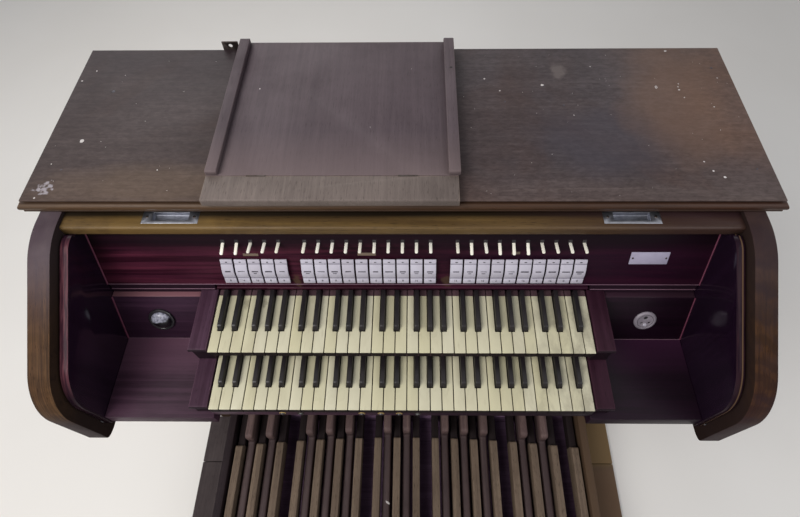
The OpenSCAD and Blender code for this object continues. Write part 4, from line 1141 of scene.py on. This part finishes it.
def on_side_face(mesh, finish, x, up=FITTING_UP):
    return planted(mesh, [(SIDE_FACE @ Vector((x, 0, up)), side_turn, 1.0)], finish)


bezel = lathed([(21.5, 0.2), (28, 0.2), (28, 3.4), (27.2, 4.6), (25.4, 5.2), (23.6, 4.9),
                (22.6, 4.0), (21.5, 3.8), (21.5, 0.2)], 48)
new_piece("round_lamp_bezel", on_side_face(bezel, bezel_plastic, -FITTING_X), None,
          stands_for=("round_lamp",))
curve = [(21 * math.cos(a), 4.4 + 10.2 * math.sin(a))
         for a in (math.radians(7.5 * k) for k in range(1, 12))]
dome = lathed([(0, 0.5), (21.4, 0.5), (21.4, 4.0)] + curve + [(0, 14.6)], 48)
new_piece("round_lamp_dome", on_side_face(dome, dome_glass, -FITTING_X), None)
softened("round_socket", 0.4, socket_plastic)
# The socket's three holes and its groove are cups and a ring of black plastic: painted shade in the
# hollows.
plug_holes = []
for dx, dy, r in ((1, 10, 5.5), (-9.5, -1, 4), (8.5, -2.5, 4)):
    hole = lathed([(0, 2.2), (r - 0.2, 2.2), (r - 0.2, 3.9), (r - 0.9, 3.2), (0, 3.0)], 24)
    plug_holes.append(on_side_face(hole, bezel_plastic, FITTING_X - dx, FITTING_UP + dy))
groove = lathed([(16.4, 3.6), (16.4, 4.12), (18.2, 4.12), (18.2, 3.6), (16.4, 3.6)], 48)
plug_holes.append(on_side_face(groove, bezel_plastic, FITTING_X))
boss = lathed([(0, 3.2), (4.2, 3.2), (4.2, 4.6), (3.4, 5.4), (0, 5.6)], 24)
new_piece("socket_centre", on_side_face(boss, tab_plastic, FITTING_X + 1, FITTING_UP - 10), None)
new_piece("plug_holes", joined(plug_holes), bezel_plastic)
print("socket holes:", len(plug_holes))

# %% [markdown]
# ## The manuals
# A natural is a pale covering on a dark key body. Its outline is a full head in front and a
# narrower tail between the sharps, so there are seven outlines in an octave.

# %% Naturals
PITCH = 165 / 7
NATURALS = 33
HEAD, KEY_LEN, COVER_LEN, COVER_T, KEY_T = 45, 140, 126, 3, 20
END_TRIM, KEY_GAP = 2.4, 0.95
SHARP_W, SHARP_CLEAR, SHARP_LEN, SHARP_H = 10.6, 1.2, 88, 12
SHARP_SHIFT = (-0.12, 0.12, None, -0.15, 0, 0.15, None)
MANUALS = {"lower": (0, 0), "upper": (96.2, 63.7)}


def sharp_after(i):
    return 0 <= i < NATURALS - 1 and SHARP_SHIFT[i % 7] is not None


def sharp_x(i):
    return (i + 1 - NATURALS / 2 + SHARP_SHIFT[i % 7]) * PITCH


def natural_outline(i, length, start=0):
    x0 = (i - NATURALS / 2) * PITCH + KEY_GAP + (END_TRIM if i == 0 else 0)
    x1 = (i + 1 - NATURALS / 2) * PITCH - KEY_GAP - (END_TRIM if i == NATURALS - 1 else 0)
    left = sharp_x(i - 1) + SHARP_W / 2 + SHARP_CLEAR if sharp_after(i - 1) else x0
    right = sharp_x(i) - SHARP_W / 2 - SHARP_CLEAR if sharp_after(i) else x1
    tail = [(right, length), (left, length)]
    if start > HEAD:
        return [(left, start), (right, start)] + tail
    return [(x0, start), (x1, start), (x1, HEAD), (right, HEAD)] + tail + [(left, HEAD), (x0, HEAD)]


def slab(outline, z0, z1, dy, dz):
    """A flat slab with the given outline of (x, y), as (points, faces)."""
    seen, clean = set(), []
    for p in outline:
        if p not in seen:
            seen.add(p)
            clean.append(p)
    clean = [p for i, p in enumerate(clean)
             if abs((p[0] - clean[i - 1][0]) * (clean[(i + 1) % len(clean)][1] - p[1])
                    - (p[1] - clean[i - 1][1]) * (clean[(i + 1) % len(clean)][0] - p[0])) > 1e-6]
    points = [spot(x, y + dy, z + dz) for z in (z0, z1) for x, y in clean]
    return points, shell(len(clean))


def keys_mesh(length, z0, z1, dy, dz, seed, name, start=0):
    rng = random.Random(seed)
    points, faces, tints = [], [], []
    for i in range(NATURALS):
        sag = rng.uniform(-0.35, 0.0)
        p, f = slab(natural_outline(i, length, start), z0, z1, dy, dz + sag)
        faces += [tuple(v + len(points) for v in face) for face in f]
        points += p
        tints += [rng.random()] * len(p)
    mesh = mesh_of(points, faces, name)
    tint = mesh.attributes.new("tint", "FLOAT", "POINT")
    for i, value in enumerate(tints):
        tint.data[i].value = value
    return mesh


for name, (dy, dz) in MANUALS.items():
    covers = rounded(keys_mesh(COVER_LEN, -COVER_T, 0, dy, dz, 3 + dy, "covers"), 0.7, 3, 40)
    new_piece(name + "_natural_covers", covers, ivory, stands_for=(name + "_naturals",))
    bodies = keys_mesh(COVER_LEN, -KEY_T, -COVER_T, dy, dz, 3 + dy, "bodies")
    new_piece(name + "_key_bodies", bodies, key_wood)
    tails = keys_mesh(KEY_LEN, -KEY_T, -0.6, dy, dz, 3 + dy, "tails", COVER_LEN + 0.3)
    new_piece(name + "_key_tails", tails, frame_wood)
print("naturals:", NATURALS * 2)

# %% Sharps


def sharp_shape():
    y0, y1 = HEAD + SHARP_CLEAR, HEAD + SHARP_CLEAR + SHARP_LEN
    rings = ((y0, -KEY_T, SHARP_W), (y0, 1, SHARP_W), (y0 + 5, SHARP_H - 1.2, 8.9),
             (y0 + 8, SHARP_H, 8.8), (y1, SHARP_H, 8.8), (y1, 0, SHARP_W), (y1, -KEY_T, SHARP_W))
    points = [(side * w / 2 * MM, y * MM, z * MM) for side in (-1, 1) for y, z, w in rings]
    return rounded(turned_out(mesh_of(points, bar_faces(len(rings)), "sharp")), 0.9, 3, 20)


for name, (dy, dz) in MANUALS.items():
    places = [(spot(sharp_x(i), dy, dz), (0, 0, 0), 1.0) for i in range(NATURALS) if sharp_after(i)]
    mesh = planted(sharp_shape(), places, ebony, 0.0, round(5 + dy))
    new_piece(name + "_sharps_made", mesh, None, stands_for=(name + "_sharps",))
    print(name, "sharps:", len(places))

# %% [markdown]
# ## Thumb pistons

# %% Pistons
PISTONS = (-242, -205, -80, -41, -4, 34)
DULL = (-205, 34)
to_player = Matrix.Rotation(math.pi, 3, "Z").to_euler()


def on_slip(mesh, places, finish):
    return planted(mesh, [(spot(x, 1, -29), to_player, 1.0) for x in places], finish)


ring = lathed([(4.9, 0.0), (4.9, 1.0), (5.5, 1.5), (6.4, 1.4), (7, 0.7), (7, 0.0), (4.9, 0.0)], 32)
cap = lathed([(0, -4), (4.5, -4), (4.5, 3.0), (4.1, 3.7), (2.5, 4.0), (0, 4.0)], 32)
bright = [x for x in PISTONS if x not in DULL]
new_piece("piston_rings", on_slip(ring, bright, brass), None,
          stands_for=("thumb_pistons",))
new_piece("dull_piston_rings", on_slip(ring, DULL, steel), None)
new_piece("piston_caps", on_slip(cap, PISTONS, bezel_plastic), None)
print("pistons:", len(PISTONS), "of which dull:", len(DULL))

# %% [markdown]
# ## The pedalboard

# %% Pedals
softened("pedal_naturals", 5.5, cap_wood, segments=4)
softened("pedal_sharps", 6.5, sharp_wood, segments=4)
for node in ("pedal_cheek_left", "pedal_cheek_right", "pedal_heel_board", "pedal_toe_board"):
    softened(node, 2.5, pedal_frame_wood)
finish_node("pedal_rails", dark_bottom)
softened("floor_boards", 1.5, board_wood)

fleck = [(spot(-59.6, -88.6, -777.4), (0, 0, -0.6), (9.5, 3.6, 1.0))]
new_piece("pedal_fleck", planted(flake_shape(), fleck, paint), None)
print("pedal pieces are dressed")

# %% [markdown]
# ## The case

# %% Case
for node in ("lower_side_left", "lower_side_right", "back_panel", "knee_board"):
    softened(node, 1.5, case_oak)
softened("plinth_rails", 2.0, case_oak_x)

# %% Planted mouldings round the panels


def loop_across(x0, x1, z0, z1, y):
    corners = ((x0, z0), (x1, z0), (x1, z1), (x0, z1), (x0, z0))
    return [spot(x, y, z) for x, z in corners]


# For the back and for the knee board: the first panel's left edge, the pitch and width of
# the panels, the face they lie on, and the foot and head of each row.
PANEL_ROWS = ((-585, 422, 326, 716.4, ((-707, -221), (-125, 163))),
              (-543, 394, 298, 304.6, ((-707, -174),)))
SIDE_FACE_X, SIDE_PANEL = 667.4, ((293, -707), (610, -707), (610, -221), (293, -221), (293, -707))
panel_lines = []
for left, pitch, width, y, rows in PANEL_ROWS:
    for x in (left + k * pitch for k in range(3)):
        panel_lines += [loop_across(x, x + width, foot, head, y) for foot, head in rows]
for side in (-1, 1):
    panel_lines.append([spot(side * SIDE_FACE_X, y, z) for y, z in SIDE_PANEL])
new_piece("panel_mouldings", swept(panel_lines, 3, case_oak_x), None)
print("panels with mouldings:", len(panel_lines))

# %% [markdown]
# ## Screws
# One slotted screw head is set down wherever the real console shows one.

# %% Screws


def screw_shape():
    """A domed screw head of radius 1 mm with a slot, looking along +Z."""
    bm = bmesh.new()
    rings = ((1.0, -0.3), (1.0, 0.0), (0.85, 0.22), (0.55, 0.36))
    rows = []
    for r, z in rings:
        rows.append([bm.verts.new((r * MM * math.cos(a), r * MM * math.sin(a), z * MM))
                     for a in (2 * math.pi * k / 20 for k in range(20))])
    for a, b in zip(rows, rows[1:]):
        for k in range(20):
            bm.faces.new((a[k], a[(k + 1) % 20], b[(k + 1) % 20], b[k]))
    top = rows[-1]
    slot, deep = ([bm.verts.new((x * MM, y * MM, z * MM)) for x, y in
                   ((-0.5, -0.1), (0.5, -0.1), (0.5, 0.1), (-0.5, 0.1))] for z in (0.36, 0.05))
    half = [[top[k % 20] for k in range(10, 21)], [top[k] for k in range(0, 11)]]
    bm.faces.new(half[0] + [slot[1], slot[0]])
    bm.faces.new(half[1] + [slot[3], slot[2]])
    bm.faces.new((top[0], slot[2], slot[1]))
    bm.faces.new((top[10], slot[0], slot[3]))
    for k in range(4):
        bm.faces.new((slot[k], slot[(k + 1) % 4], deep[(k + 1) % 4], deep[k]))
    bm.faces.new(deep)
    bm.faces.new(rows[0])
    return finished(bm, bpy.data.meshes.new("screw"))


rng = random.Random(11)
PULL_SCREWS = [(side * 432 + dx, 294, 248) for side in (-1, 1) for dx in (-44.5, 44.5)]
pull_screws = [(spot(*p), Euler((0, 0, rng.uniform(0, math.pi))), 3.0) for p in PULL_SCREWS]
new_piece("pull_screws", planted(screw_shape(), pull_screws, steel), None)
out, up = STOP_FACE.col[1].xyz.normalized(), STOP_FACE.col[2].xyz.normalized()
face_screw = Matrix((up.cross(out), up, out)).transposed().to_euler()
plate_screws = [place_on_rail(x, 70, 2.0, 2.2, face_screw) for x in (460.5, 526.5)]
new_piece("plate_screws", planted(screw_shape(), plate_screws, steel), None)
print("screws:", len(pull_screws) + len(plate_screws))

# %% [markdown]
# ## Floor and light
# A pale floor and soft lamps at a plain level, a little stronger from the left.

# %% Studio


def studio():
    f = Finish("pale_floor", 0.8)
    tone = f.noise(0.6, 4)
    f.colour_is(f.mix(f.span(tone, 0.3, 0.7), colour(226, 222, 216), colour(236, 233, 228)))
    f.bump(f.noise(40.0, 3), 0.0005, 0.2)
    mesh = mesh_of([(-9, -9, 0), (9, -9, 0), (9, 9, 0), (-9, 9, 0)], [(0, 1, 2, 3)], "floor")
    mesh.materials.append(f.material)
    floor = bpy.data.objects.new("floor", mesh)
    bpy.context.collection.objects.link(floor)


def lamp(title, place, target, size, watts, tone=(1, 1, 1)):
    data = bpy.data.lights.new(title, "AREA")
    data.shape, data.size, data.size_y = "RECTANGLE", *size
    data.energy, data.color = watts, tone
    obj = bpy.data.objects.new(title, data)
    bpy.context.collection.objects.link(obj)
    obj.location = place
    obj.rotation_euler = (Vector(target) - Vector(place)).to_track_quat("-Z", "Y").to_euler()


studio()
lamp("soft_left", (-1.7, -1.2, 3.2), (0, 0.1, 0.9), (2.0, 2.0), 92, (1.0, 0.98, 0.96))
lamp("soft_right", (2.2, -0.8, 3.0), (0, 0.1, 0.9), (2.0, 2.0), 28, (0.95, 0.96, 1.0))
lamp("soft_back", (-1.6, 2.6, 2.6), (0, 0.2, 1.1), (2.4, 1.2), 26, (1.0, 0.98, 0.96))

# The air lights the console dimly, and is bright where it is seen or mirrored.
world = bpy.data.worlds.new("studio_air")
bpy.context.scene.world = world
world.use_nodes = True
air = world.node_tree
air.nodes.clear()
out, choose = air.nodes.new("ShaderNodeOutputWorld"), air.nodes.new("ShaderNodeMixShader")
path = air.nodes.new("ShaderNodeLightPath")
for socket, tone, strength in ((1, (0.9, 0.93, 1.0, 1), 0.3), (2, (0.93, 0.92, 0.9, 1), 1.0)):
    glow = air.nodes.new("ShaderNodeBackground")
    glow.inputs["Color"].default_value = tone
    glow.inputs["Strength"].default_value = strength
    air.links.new(glow.outputs[0], choose.inputs[socket])
seen = path.outputs["Is Glossy Ray"]
for ray in ("Is Transmission Ray", "Is Camera Ray"):
    either = air.nodes.new("ShaderNodeMath")
    either.operation, either.use_clamp = "ADD", True
    air.links.new(seen, either.inputs[0])
    air.links.new(path.outputs[ray], either.inputs[1])
    seen = either.outputs[0]
air.links.new(seen, choose.inputs["Fac"])
air.links.new(choose.outputs[0], out.inputs["Surface"])
bpy.context.scene.view_settings.view_transform = "Standard"
